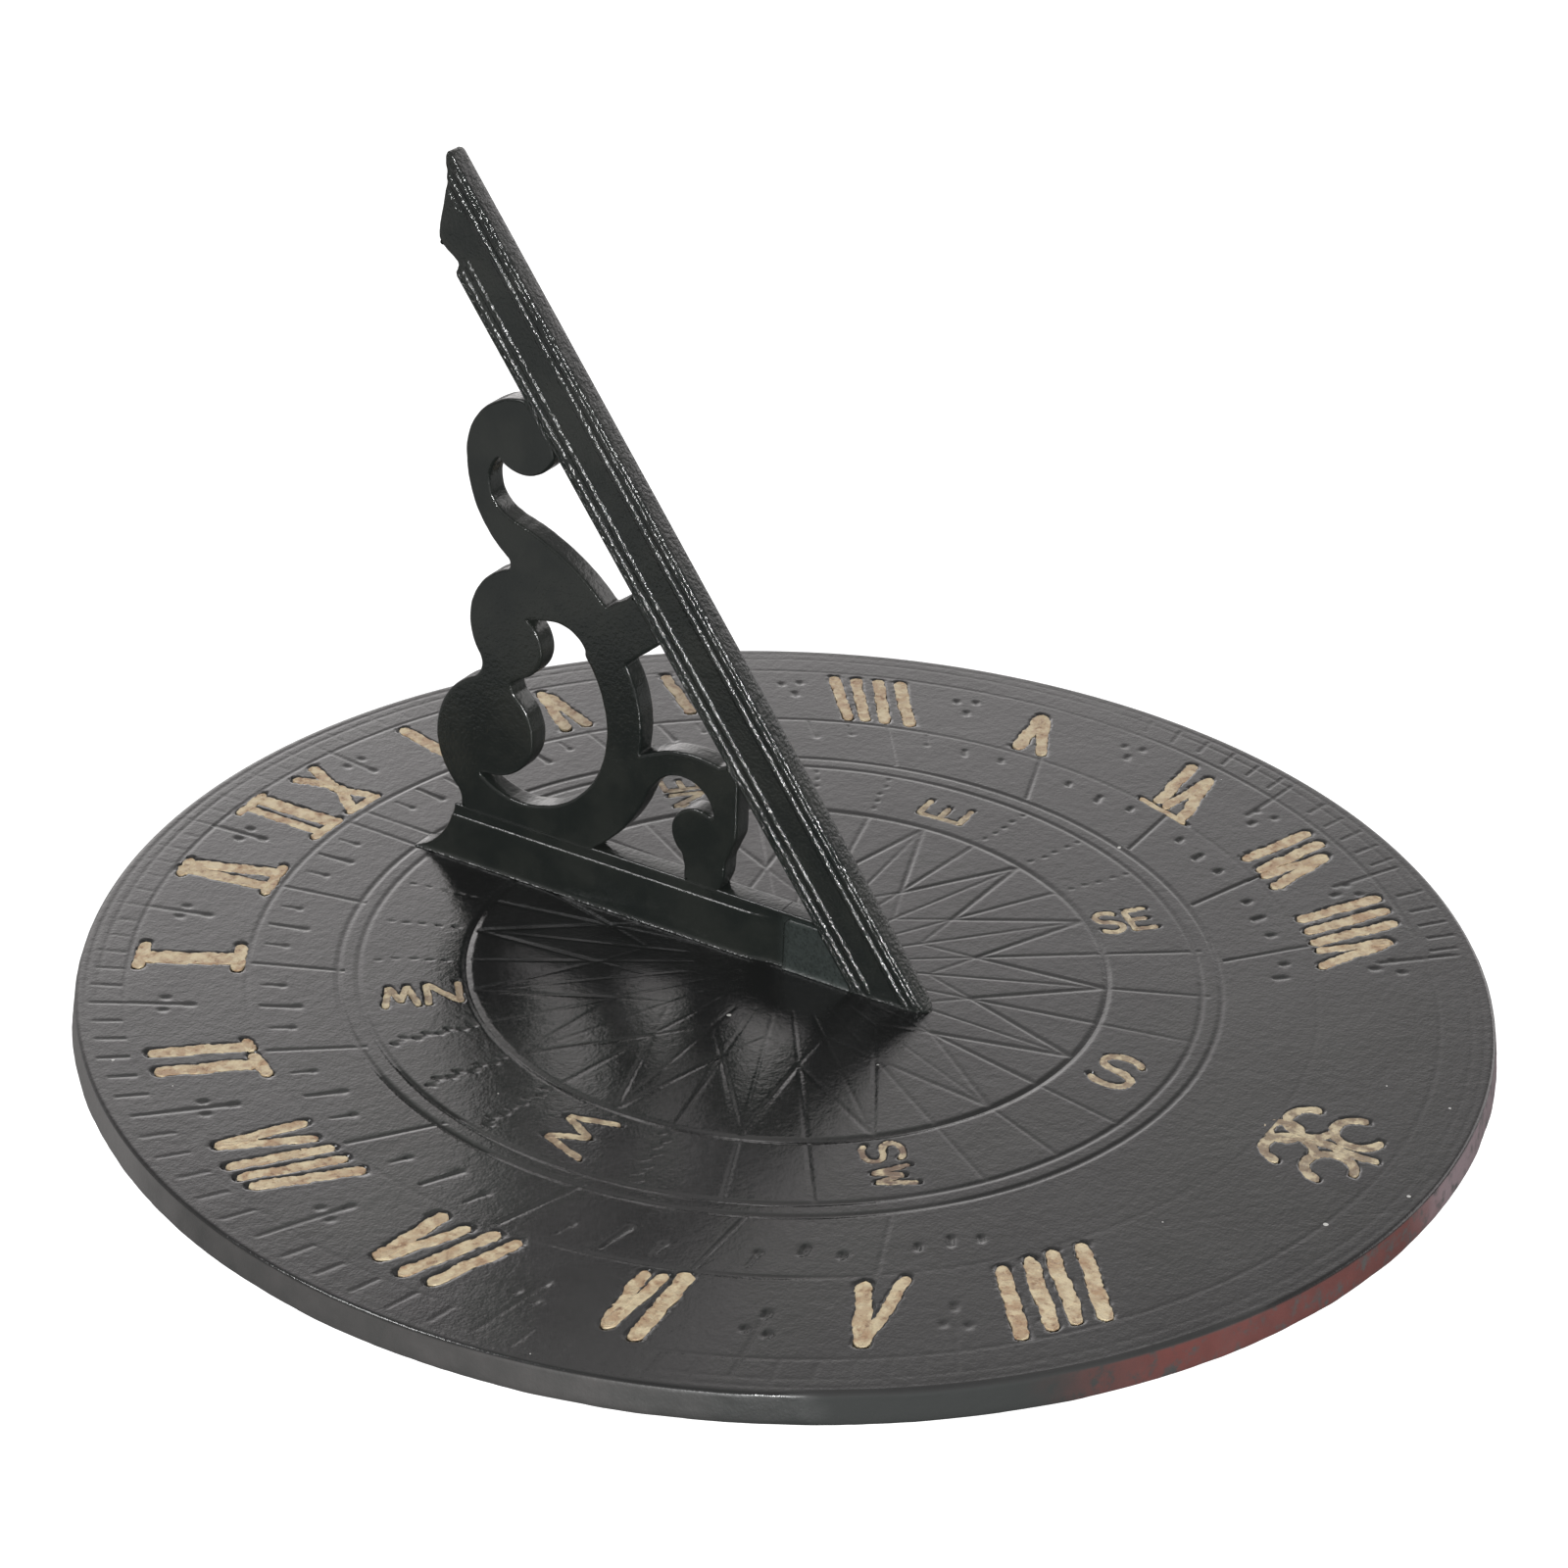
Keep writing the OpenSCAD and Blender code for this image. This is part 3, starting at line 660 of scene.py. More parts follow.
def make_piece(name, parts, material, replaces, merge=0.0, sharp=40.0):
    """One mesh object from closed solids given in mm, in metres, smooth with its sharp edges kept."""
    points, faces = closed_parts(parts)
    mesh = bpy.data.meshes.new(name)
    corners = np.concatenate([group.ravel() for group in faces])
    sizes = np.concatenate([np.full(len(group), group.shape[1]) for group in faces])
    mesh.vertices.add(len(points))
    mesh.vertices.foreach_set("co", (points * MM).ravel())
    mesh.loops.add(len(corners))
    mesh.loops.foreach_set("vertex_index", corners)
    mesh.polygons.add(len(sizes))
    mesh.polygons.foreach_set("loop_start", np.concatenate([[0], np.cumsum(sizes)[:-1]]))
    mesh.update(calc_edges=True)
    if merge:
        merge_doubles(mesh, merge * MM)
    if mesh.validate(verbose=False) and not merge:
        raise RuntimeError(f"{name} has faces that do not form a proper mesh")
    mesh.shade_smooth()
    mesh.set_sharp_from_angle(angle=math.radians(sharp))
    mesh.materials.append(material)
    piece = link(name, mesh)
    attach(piece, "root")
    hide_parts(*replaces)
    return piece


def merge_doubles(mesh, distance):
    """Joins points closer than distance and drops the faces and edges that this closes."""
    work = bmesh.new()
    work.from_mesh(mesh)
    bmesh.ops.remove_doubles(work, verts=work.verts, dist=distance)
    bmesh.ops.delete(work, geom=[edge for edge in work.edges if not edge.link_faces], context="EDGES")
    work.to_mesh(mesh)
    work.free()


def spaced(start, end, step, fine, near):
    """Values from start to end: step apart, and fine apart where near, a function of the value, is true."""
    line = np.linspace(start, end, int((end - start) / fine * 4) + 2)
    density = np.where(near(line), 1.0 / fine, 1.0 / step)
    run = np.concatenate([[0.0], np.cumsum((density[1:] + density[:-1]) / 2 * np.diff(line))])
    return np.interp(np.linspace(0, run[-1], int(np.ceil(run[-1])) + 1), run, line)


def near_azimuths(spots, reach_deg):
    """A test that is true within reach_deg of any of the spots, in degrees."""
    spots = np.asarray(spots, float)

    def test(azimuth):
        return (np.abs(wrap(azimuth[:, None] - spots[None, :])) < reach_deg).any(axis=1)

    return test


def around(step, fine, near):
    """Azimuths all the way round: step apart, and fine apart where near is true."""
    return spaced(-180.0, 180.0, step, fine, near)[:-1]


def plate_zone(name, radii, azimuths, ray_centre, strokes, recesses, rim=(), under=None):
    """A closed ring of the plate, or its middle if the first radius is small.

    Rows are circles about the middle and columns are rays from (0, ray_centre). The face is face_height over
    that grid. rim adds rows of (radius, height) outside it, and under gives the height of the underside.
    """
    spot = polar(azimuths, (radii[0] + radii[-1]) / 2)
    bearing = np.degrees(np.arctan2(spot[:, 0], spot[:, 1] - ray_centre))
    x, y = reach(0.0, ray_centre, bearing[None, :], np.asarray(radii)[:, None])
    layers = [np.stack([x, y, face_height(x, y, strokes, recesses)], axis=-1)]
    azimuth = np.degrees(np.arctan2(x[-1], y[-1]))
    outermost = dial().plate_radius - 0.01
    for radius, height in rim:
        edge = polar(azimuth, 1.0) * np.minimum(radius + rim_wobble(azimuth, height), outermost)[:, None]
        layers.append(np.concatenate([edge, np.full((len(edge), 1), height)], axis=1)[None])
    top = np.concatenate(layers)
    rows, columns = top.shape[:2]
    low_rows = [*range(0, len(radii) - 1, 2 if under else len(radii)), len(radii) - 1]
    low = np.stack([x[low_rows], y[low_rows], np.zeros((len(low_rows), columns))], axis=-1)
    if under:
        low[..., 2] = under(low[..., 0], low[..., 1])
    if rim:
        low[-1, :, :2] = top[-1, :, :2]
    lows = rows * columns
    here = np.arange(columns)
    after = (here + 1) % columns
    last, low_last = (rows - 1) * columns, lows + (len(low_rows) - 1) * columns
    faces = [grid_faces(rows, columns, True), grid_faces(len(low_rows), columns, True, lows)[:, ::-1],
             np.stack([last + here, last + after, low_last + after, low_last + here], axis=1)]
    points = np.concatenate([top.reshape(-1, 3), low.reshape(-1, 3)])
    if radii[0] > 1.0:
        faces.append(np.stack([here, lows + here, lows + after, after], axis=1))
    else:
        count = len(points)
        points = np.concatenate([points, [[0, 0, top[0, :, 2].mean()], [0, 0, low[0, :, 2].mean()]]])
        faces.append(np.stack([np.full(columns, count), after, here], axis=1))
        faces.append(np.stack([np.full(columns, count + 1), lows + here, lows + after], axis=1))
    paint = finish("Plate paint", paint_plate)
    return make_piece(name, [(points, faces)], paint, ["dial_plate"], sharp=50)


def rim_wobble(azimuth, height):
    """The hand-filed unevenness of the rim, in mm."""
    along = np.radians(azimuth) * 150.0
    return (noise_sum(along, along * 0 + height, (0.10, 9.0, 51))
            + noise_sum(along, along * 0 + height * 2, (0.05, 2.0, 52)))


# The edge's rows: inset from the plate's radius, and height
RIM_PROFILE = ((0.88, 5.75), (0.8, 5.3), (0.66, 4.4), (0.48, 3.3), (0.3, 2.1), (0.16, 1.1), (0.2, 0.4),
               (0.42, 0.08))
SCREW_PLACES = (-26.0, -8.0, 24.0, 76.0)   # north of the middle
SCREW_CONE = (3.25, 1.75)                  # radius at the underside, and depth


def screw_recess(x, y):
    """Underside height: a cone around each screw, wide enough for its countersunk head, and 0 elsewhere."""
    radius, depth = SCREW_CONE
    cones = [np.clip(radius - np.hypot(x, y - place), 0.0, depth) for place in SCREW_PLACES]
    return np.max(cones, axis=0)


# Gold paint in the recesses

GILT_DROP = 0.02      # how far the paint's rim lies under the face
GILT_DIP = 0.10       # how far its middle lies under its rim
GILT_FLOOR = 0.58     # its underside, below the solid's top


def gilt_ribbon(line, width, seed):
    """A closed lens of gold paint along a path.

    Across the path the top dips as 1 - q^2, where q is the distance from the middle in half widths. The half
    width wavers with the brush and closes at both ends as an ellipse of random length.
    """
    run = run_along(line)
    closed = is_closed(line)
    across = left_of(np.gradient(line, axis=0))
    rng = np.random.default_rng(seed)
    sides = [width / 2 * (1 + noise_sum(run + offset, run * 0, (0.13, 2.4, 61), (0.15, 0.8, 62))) + 0.12
             for offset in rng.uniform(0, 90, 2)]
    if not closed:
        end = np.minimum(run / (rng.uniform(0.4, 1.0) * width),
                         (run[-1] - run) / (rng.uniform(0.4, 1.0) * width))
        taper = (1 - np.clip(1 - end, 0.0, 1.0) ** 2) ** 0.5 * 0.97 + 0.03
        sides = [side * taper for side in sides]
    q = np.array([-1.0, -0.93, -0.7, -0.35, 0.0, 0.35, 0.7, 0.93, 1.0])
    half = np.where(q[None, :] < 0, sides[0][:, None], sides[1][:, None])
    x = line[:, :1] + across[:, :1] * half * q
    y = line[:, 1:] + across[:, 1:] * half * q
    solid_top = dial().plate_top
    profile = GILT_DIP * (1 - q * q) + 0.08 * (np.abs(q) > 0.95)
    z = solid_top - FACE_DROP - GILT_DROP - profile + noise_sum(x, y, (0.06, 1.1, 63), (0.04, 0.5, 64))
    top = np.stack([x, y, z], axis=-1)
    low = np.stack([x[:, ::-4], y[:, ::-4], np.full((len(line), 3), solid_top - GILT_FLOOR)], axis=-1)
    ring = np.concatenate([top, low], axis=1)
    rows, columns = ring.shape[:2]
    faces = [grid_faces(rows, columns, True)]
    if closed:
        ring[-1] = ring[0]
    else:
        fan = np.stack([np.zeros(columns - 2, int), np.arange(1, columns - 1), np.arange(2, columns)], axis=1)
        faces += [fan[:, ::-1], fan + (rows - 1) * columns]
    return ring.reshape(-1, 3), faces


def gilt_piece(name, paths, replaced, seed):
    """All the gold strokes of one kind as one piece."""
    parts = [gilt_ribbon(line, width, seed + k) for k, (line, width) in enumerate(paths)]
    return make_piece(name, parts, finish("Gold paint", paint_gilt), [replaced], merge=MERGE,
                      sharp=60)


# Gnomon: solids on the noon plane, symmetric about x = 0 but for the style's top. Heights are above the face.


def arris(distance, radius):
    """How far a rounded edge draws in at a distance from the border: r - sqrt(r^2 - (r - d)^2)."""
    inside = np.clip(radius - distance, 0.0, radius)
    return radius - np.sqrt(radius ** 2 - inside ** 2)


def contact_flare(height):
    """Paint that has gathered where a part meets the plate: 0.55 (1 - h / 1.1)^2."""
    return 0.55 * np.clip(1 - height / 1.1, 0.0, 1.0) ** 2


def slab(y, z, half, half_east=None):
    """A solid over a y-z grid: faces at x = -half and +half, joined by strips along the grid's border.

    half_east, where given, is the east face's own distance from the noon plane.
    """
    rows, columns = y.shape
    west = np.stack([-half, y, z + dial().plate_top - FACE_DROP], axis=-1).reshape(-1, 3)
    east = west * (-1, 1, 1)
    if half_east is not None:
        east[:, 0] = half_east.ravel()
    count = len(east)
    quads = grid_faces(rows, columns, False)
    index = np.arange(count).reshape(rows, columns)
    border = np.concatenate([index[0, :-1], index[:-1, -1], index[-1, :0:-1], index[:0:-1, 0]])
    ahead = np.roll(border, -1)
    faces = [quads, quads[:, ::-1] + count, np.stack([border, border + count, ahead + count, ahead], axis=1)]
    flat = east[:, 1:]
    if np.sum(flat[border, 0] * flat[ahead, 1] - flat[ahead, 0] * flat[border, 1]) < 0:
        faces = [group[:, ::-1] for group in faces]
    return np.concatenate([east, west]), faces


BAR_FOOT = -35.2      # where the top edge's line meets the face, north of the middle
BAR_DEPTH = 14.6      # the depth that the underside's table is drawn for
BAR_END = 202.95
BAR_UNDER = ((0.0, 0.0), (10.6, -14.6), (180.5, -14.6), (181.6, -14.1), (182.3, -13.1), (183.0, -12.9),
             (184.2, -13.15), (186.1, -13.8), (187.9, -14.15), (189.2, -13.95), (190.3, -13.2),
             (191.4, -12.0), (192.3, -10.8), (194.4, -8.4), (197.0, -5.7), (202.3, -1.75), (BAR_END, -0.95))
BAR_STRAIGHT = 5.0    # rows down to here keep their distance from the top edge, the others share the rest
EDGE_ROWS = np.array([0, 0.03, 0.1, 0.22, 0.36, 0.5])
FLANGE = 0.98         # depth of the plain band under the top edge
LOW_FLANGE = 0.55     # and of the one over the lower edge
FIELD = 0.5           # how far the flat field lies under the flanges
# Beads: level of the crest, and where along the bar they start and end
BEADS = ((-1.75, 2.8, 200.0), (-3.9, 4.3, 198.5), (-10.7, 9.2, 182.0), (-13.1, 11.0, 181.4))
BEAD_RADIUS = 0.8
BEAD_SUNK = 0.30      # how far a bead's middle lies under the field
PLANED = (0.72, 0.87)   # a bead's planed flank: its height at the crest, and its slope
CROWN = 2.3           # fall of the top edge to the east
TOE_LENGTH = 4.5


def style_bar_solid():
    """The style bar over its own frame: s along the top edge from the foot, p square to it and upwards.

    The half thickness is a flat field with four round beads planed along their upper flank, a flange along
    both edges and rounded edges. The top edge falls away to the east as a quarter of an ellipse. The bar
    narrows to a rounded end at the foot.
    """
    g = gnomon()
    beads = [-crest + k * 0.122 for crest, _, _ in BEADS for k in range(-6, 7)]
    levels = np.unique(np.round(np.concatenate([EDGE_ROWS, [0.8, 0.95], beads, np.linspace(5.0, 9.6, 8),
                                                g.depth - EDGE_ROWS]), 3))
    s = spaced(0.02, BAR_END, 0.6, 0.3, lambda v: (v < 14) | (v > 180))
    under = np.interp(s, *np.array(BAR_UNDER).T) * (g.depth / BAR_DEPTH)
    upper = -0.62 * np.clip((s - 201.7) / 1.25, 0, 1) ** 2
    bent = np.minimum(BAR_STRAIGHT, 0.6 * -under)
    share = np.interp(levels, [0.0, BAR_STRAIGHT, g.depth], [0.0, 0.0, 1.0])[:, None]
    p = np.minimum(upper[None, :],
                   -np.minimum(levels, BAR_STRAIGHT)[:, None] / BAR_STRAIGHT * bent + share * (under + bent))
    along = np.broadcast_to(s, p.shape)
    y = BAR_FOOT + along * math.cos(g.slope) - p * math.sin(g.slope)
    z = along * math.sin(g.slope) + p * math.cos(g.slope)
    half = np.full(p.shape, g.half - FIELD)
    for crest, start, end in BEADS:
        fade = smooth_step(along, start - 1.5, start) * (1 - smooth_step(along, end - 1.0, end + 1.5))
        rise = np.sqrt(np.clip(BEAD_RADIUS ** 2 - (p - crest) ** 2, 0.0, None)) - BEAD_SUNK
        rise = np.minimum(rise, PLANED[0] - PLANED[1] * (p - crest))
        crumb = 0.84 + 0.16 * value_noise(along, p * 0 + crest * 5, 1.3, 71)
        half += np.clip(rise, 0.0, None) * fade * crumb
    half = np.maximum(half, np.where((p > -FLANGE) | (p < LOW_FLANGE - g.depth), g.half, 0.0))
    plain = np.maximum(smooth_step(along + 0.35 * p, 185.6, 189.0) * smooth_step(-p, 5.0, 6.0),
                       smooth_step(along, 199.6, 201.2))
    half = np.maximum(half, g.half - FIELD + FIELD * plain)
    half += noise_sum(along, p, (0.02, 5.0, 72), (0.016, 1.2, 73))
    below = (p - under) / np.sqrt(1 + np.gradient(under, s) ** 2)
    half -= np.where(along > BAR_UNDER[1][0], arris(below, g.edge), 0.0)
    half += contact_flare(z) * (along > 1.0)
    crown = CROWN * (1 - np.sqrt(1 - np.clip(1 - (upper - p) / FLANGE, 0.0, 1.0) ** 2))
    narrow = 0.3 + 0.7 * np.sqrt(1 - np.clip(1 - along / TOE_LENGTH, 0.0, 1.0) ** 2)
    west_cut = arris(upper - p, g.edge * 1.7)
    west, east = (np.minimum(half - cut, g.half + 0.5) * narrow for cut in (west_cut, crown))
    return slab(y, z, west, east)


RAIL_TOP = 13.7       # the height that the rows of rail and toe block are drawn for
FOOT_ROWS = (0, 0.15, 0.35, 0.6, 0.9, 1.4)
TOP_ROWS = (13.2, 13.34, 13.48, 13.6, 13.67, RAIL_TOP)
LIP_START = (12.7, 12.95)
RAIL_SOUTH = 0.4
HEEL_CENTRE, HEEL_RADIUS = (100.9, 14.9), 15.9
HEEL_TOP = (85.4, 11.1)   # the lip's north end and the height where the hollow starts
PANEL_TOP = 12.1
BORDER_SUNK = 1.2     # the toe block's border, under the gnomon's faces


def foot_rail_solid():
    """The foot rail over a grid of height and length: fascia, thin recess, lip, and a hollow north end.

    The heel is a circular cavetto; at the south end the faces below the lip draw in beside the toe block.
    """
    g = gnomon()
    rows = np.array([*FOOT_ROWS, 2.4, 3.6, 4.8, 6.0, 7.2, 8.4, 9.4, 10.1, 10.45, 10.65, 10.8, 10.9, 11.05,
                     11.3, 11.8, 12.3, 12.7, 12.85, 13.0, 13.1, *TOP_ROWS])
    share = spaced(0.0, 1.0, 0.0068, 0.0035, lambda v: (v < 0.12) | (v > 0.93))
    hollow = HEEL_CENTRE[0] - np.sqrt(HEEL_RADIUS ** 2 - (rows - HEEL_CENTRE[1]) ** 2)
    heel = np.where(rows < HEEL_TOP[1], hollow, HEEL_TOP[0] - 0.25 * (rows - HEEL_TOP[1]))
    y = RAIL_SOUTH + share[None, :] * (heel[:, None] - RAIL_SOUTH)
    h = np.broadcast_to(rows[:, None], y.shape)
    z = h * (g.rail / RAIL_TOP)
    half = np.full(y.shape, g.half)
    groove = smooth_step(h, 10.75, 10.95) * (1 - smooth_step(h, 12.9, 13.1))
    half -= 0.38 * groove + 0.10 * smooth_step(h, 13.0, 13.1)
    half -= np.where(np.abs(h - 10.8) < 0.5, arris(np.abs(h - 10.8), 0.35) * 0.6, 0.0)
    half += 0.05 * value_noise(y, h * 0, 1.0, 74) * np.exp(-((h - 10.6) / 0.35) ** 2)
    half += noise_sum(y, h, (0.025, 5.0, 75), (0.012, 1.3, 76))
    half -= arris(g.rail - z, g.edge) + arris((heel[:, None] - y) * 0.9, 0.3)
    beside_toe = 1 - np.maximum(smooth_step(y, 1.5, 9.5), smooth_step(h, *LIP_START))
    half = half * (1 - beside_toe) + (g.half - BORDER_SUNK) * beside_toe + contact_flare(z)
    return slab(y, z, half)


def toe_block_solid():
    """The web between bar and plate over a grid: a panel with one rounded corner, under the rail's lip."""
    g = gnomon()
    rows = np.concatenate([FOOT_ROWS, np.linspace(2.2, 9.4, 12), np.linspace(9.7, 11.5, 7),
                           np.linspace(11.65, 12.55, 9), [12.7, 12.85, 12.95, 13.05], TOP_ROWS])
    share = np.concatenate([np.linspace(0, 0.72, 22), np.linspace(0.745, 1.0, 22)])
    height = rows * (g.rail / RAIL_TOP)
    south = BAR_FOOT + g.depth / math.sin(g.slope) - 0.6 + height / math.tan(g.slope)
    y = south[:, None] + share[None, :] * (0.6 - south)[:, None]
    h, z = np.broadcast_to(rows[:, None], y.shape), np.broadcast_to(height[:, None], y.shape)
    corner = 3.0 - np.hypot(np.clip(y + 2.9, 0, None), np.clip(h - 9.5, 0, None))
    inside = np.minimum(np.minimum(corner, PANEL_TOP - h), 0.1 - y)
    half = np.where(inside > 0, g.half - 0.4 - arris(inside, g.edge * 1.6), g.half - BORDER_SUNK)
    half += noise_sum(y, h, (0.03, 4.0, 77), (0.03, 1.1, 78))
    half = np.maximum(half, (g.half - 0.1) * smooth_step(h, *LIP_START))
    half += contact_flare(z) - arris(g.rail - z, g.edge)
    return slab(y, z, half)


SCROLL_OUTER = (
    ((66.2, 99.4), 14.6, 92, -3), ((54.1, 98.2), 26.6, -1, -54), ((69.8, 76.4),),
    ((65.8, 60.7), 14.5, 74, -34), ((81.6, 50.4), 4.4, 148, 236), ((71.7, 30.8), 17.7, 62, -47),
    ((86.5, 15.3), 3.6, 137, 193), ((82.9, 13.2), (48.4, 13.2)), ((68.85, 43.8), 36.4, 235, 199),
    ((25.8, 30), 8, 40, 175), ((21.9, 25.1), 6.35, 118, -55),
    ((24.9, 17.1), (24.9, 13.2), (16.3, 13.2), (14.9, 16.8), (14.6, 21.1), (12, 27.5)),
    "bar", (12, 14.6), ((23, 20.6), 23.5, 106, 63.5), ((64.5, 45.9), 28.3, 192.2, 149), ((32.7, 66.65),),
    "bar", (31.6, 38.6), ((39.95, 76), (45.4, 72.15)), ((81.8, 37.9), 50, 135, 105),
    ((66.9, 94), 7.9, -74, 47), ((66.5, 105.5), 8.5, 305, 200), "bar", (59.1,))
SCROLL_INNER = (
    ((66.65, 36.9), 17.7, 310, 265), ((67.7, 41.8), 22.6, 260, 185), ((74.3, 42.1), 29.4, 180, 143),
    ((58, 56.6), 8.6, 150, 80), ((69.3, 56.9), 7.8, 118, 254), ((69.5, 47.5),),
    ((75.45, 35.4), 11.65, 125, 262), ((77, 23.6),))


def under_bar(y, lift=0.45):
    """Point on the underside of the bar at a given y, lifted a little into the bar."""
    g = gnomon()
    return (y, (y - BAR_FOOT) * math.tan(g.slope) - (g.depth - lift) / math.cos(g.slope))


def scroll_outline(pieces):
    """A closed outline from arcs (centre, radius, start, end), loose corners, and points under the bar."""
    points, on_bar = [], False
    for piece in pieces:
        if piece == "bar":
            on_bar = True
        elif on_bar:
            points.append(np.array([under_bar(y) for y in piece]))
            on_bar = False
        elif len(piece) == 4 and np.ndim(piece[1]) == 0:
            points.append(arc(*piece, 24))
        else:
            points.append(np.array(piece, float))
    return ease_loop(np.concatenate(points), 0.42, 0.45)


def ease_loop(points, spacing, sigma):
    """A closed outline resampled evenly, its corners eased by a Gaussian of sigma mm."""
    loop = np.concatenate([points, points[:1]])
    run = run_along(loop)
    count = int(run[-1] / spacing)
    even = sample_path(loop, run, np.linspace(0, run[-1], count, endpoint=False))
    wave = np.fft.fftfreq(count, run[-1] / count)
    soft = np.exp(-2 * (np.pi * wave * sigma) ** 2)
    return np.stack([np.real(np.fft.ifft(np.fft.fft(even[:, k]) * soft)) for k in (0, 1)], axis=1)


def scroll_solid():
    """The pierced scroll: one rounded wall profile carried along both outlines, closed by flat caps.

    Each level of the profile is an inset from the outline and a distance from the noon plane.
    """
    g = gnomon()
    full, edge = g.half - 0.05, g.edge * 1.3
    angle = np.radians(np.linspace(0, 90, 5))
    inset = np.concatenate([[0.95], edge * (1 - np.sin(angle)), [0.0]])
    side = np.concatenate([[full], full - edge * (1 - np.cos(angle)), [full * 0.35]])
    inset, side = np.concatenate([inset, inset[::-1]]), np.concatenate([side, -side[::-1]])
    points, faces, caps, offset = [], [], [], 0
    for loop, outside in ((scroll_outline(SCROLL_OUTER), True), (scroll_outline(SCROLL_INNER), False)):
        area = np.sum(loop[:, 0] * np.roll(loop[:, 1], -1) - np.roll(loop[:, 0], -1) * loop[:, 1])
        if (area > 0) != outside:
            loop = loop[::-1]
        inward = left_of(np.roll(loop, -1, axis=0) - np.roll(loop, 1, axis=0))
        rough = 0.05 * value_noise(loop[:, 0], loop[:, 1], 1.4, 79)[:, None]
        y, z = (loop[:, k:k + 1] + inward[:, k:k + 1] * (inset[None, :] + rough) for k in (0, 1))
        ring = np.stack([np.broadcast_to(side, y.shape), y, z + dial().plate_top - FACE_DROP], axis=-1)
        rows, columns = ring.shape[:2]
        faces.append(grid_faces(rows + 1, columns, False) % (rows * columns) + offset)
        points.append(ring.reshape(-1, 3))
        caps.append((ring[:, 0], offset + np.arange(rows) * columns))
        offset += rows * columns
    flat = np.array(tessellate_polygon([[Vector((0.0, p[1], p[2])) for p in cap[0]] for cap in caps]))
    east = np.concatenate([cap[1] for cap in caps])
    west = east + len(side) - 1
    points = np.concatenate(points)
    corner = points[east][flat]
    turn = np.cross(corner[:, 1, 1:] - corner[:, 0, 1:], corner[:, 2, 1:] - corner[:, 0, 1:])
    flat[turn < 0] = flat[turn < 0][:, ::-1]
    return points, [*faces, east[flat], west[flat][:, ::-1]]


# Finishes, in metres


class Graph:
    """Places nodes in one shader tree. A value is a socket to link, or a number or colour to set."""

    def __init__(self, tree):
        self.tree = tree

    def plug(self, target, value):
        """Links a socket into an input, or sets the input to a plain value."""
        if isinstance(value, bpy.types.NodeSocket):
            self.tree.links.new(value, target)
        else:
            target.default_value = (*value, 1.0) if target.type == "RGBA" else value

    def node(self, kind, values=(), **settings):
        """A new node with its settings; the values are in the order of its inputs, or by name in a dict."""
        made = self.tree.nodes.new("ShaderNode" + kind)
        for name, value in settings.items():
            setattr(made, name, value)
        for key, value in (values if isinstance(values, dict) else dict(enumerate(values))).items():
            self.plug(made.inputs[key], value)
        return made

    def calc(self, operation, *values):
        """Output of a Math node."""
        return self.node("Math", values, operation=operation).outputs[0]

    def times(self, product, *others):
        """Product of values."""
        for other in others:
            product = self.calc("MULTIPLY", product, other)
        return product

    def plus(self, total, *others):
        """Sum of values."""
        for other in others:
            total = self.calc("ADD", total, other)
        return total

    def remap(self, value, low, high, to_low=0.0, to_high=1.0):
        """Output of a smooth Map Range node."""
        values = (value, low, high, to_low, to_high)
        return self.node("MapRange", values, interpolation_type="SMOOTHSTEP").outputs[0]

    def within(self, value, centre, far, near):
        """1 within near of a centre and 0 farther from it than far."""
        return self.remap(self.calc("ABSOLUTE", self.calc("SUBTRACT", value, centre)), far, near)

    def axes(self, vector):
        """The x, y and z of a vector."""
        return self.node("SeparateXYZ", (vector,)).outputs

    def azimuth(self, x, y):
        """Degrees clockwise from north."""
        return self.calc("DEGREES", self.calc("ARCTAN2", x, y))

    def radius(self, x, y):
        """Distance from the middle."""
        return self.calc("SQRT", self.plus(self.times(x, x), self.times(y, y)))

    def blend(self, share, first, second):
        """Output of a colour Mix node."""
        mix = self.node("Mix", data_type="RGBA")
        for name, value in (("Factor", share), ("A", first), ("B", second)):
            self.plug(mix.inputs[name], value)
        return mix.outputs["Result"]

    def noise(self, vector, size, detail=2.0, roughness=0.5):
        """Output of a Noise Texture whose features are about size metres across."""
        scale = self.calc("DIVIDE", 1.0, size) if isinstance(size, bpy.types.NodeSocket) else 1.0 / size
        values = {"Vector": vector, "Scale": scale, "Detail": detail, "Roughness": roughness}
        return self.node("TexNoise", values).outputs["Fac"]

    def place(self, group, vector, **values):
        """The outputs of a node group with its inputs set; an underscore in a name stands for a space."""
        values = {name.replace("_", " "): value for name, value in values.items()}
        return self.node("Group", {"Vector": vector, **values}, node_tree=group).outputs

    def bump(self, shader, height, distance, strength):
        """Feeds a height through a Bump node into the shader's normal."""
        bumped = self.node("Bump", {"Distance": distance, "Strength": strength, "Height": height})
        self.plug(shader.inputs["Normal"], bumped.outputs["Normal"])


def toned(colour, *factors):
    """A colour with its red, green and blue multiplied by a factor each, or all by the one given."""
    return tuple(part * factor for part, factor in zip(colour, factors * 3))


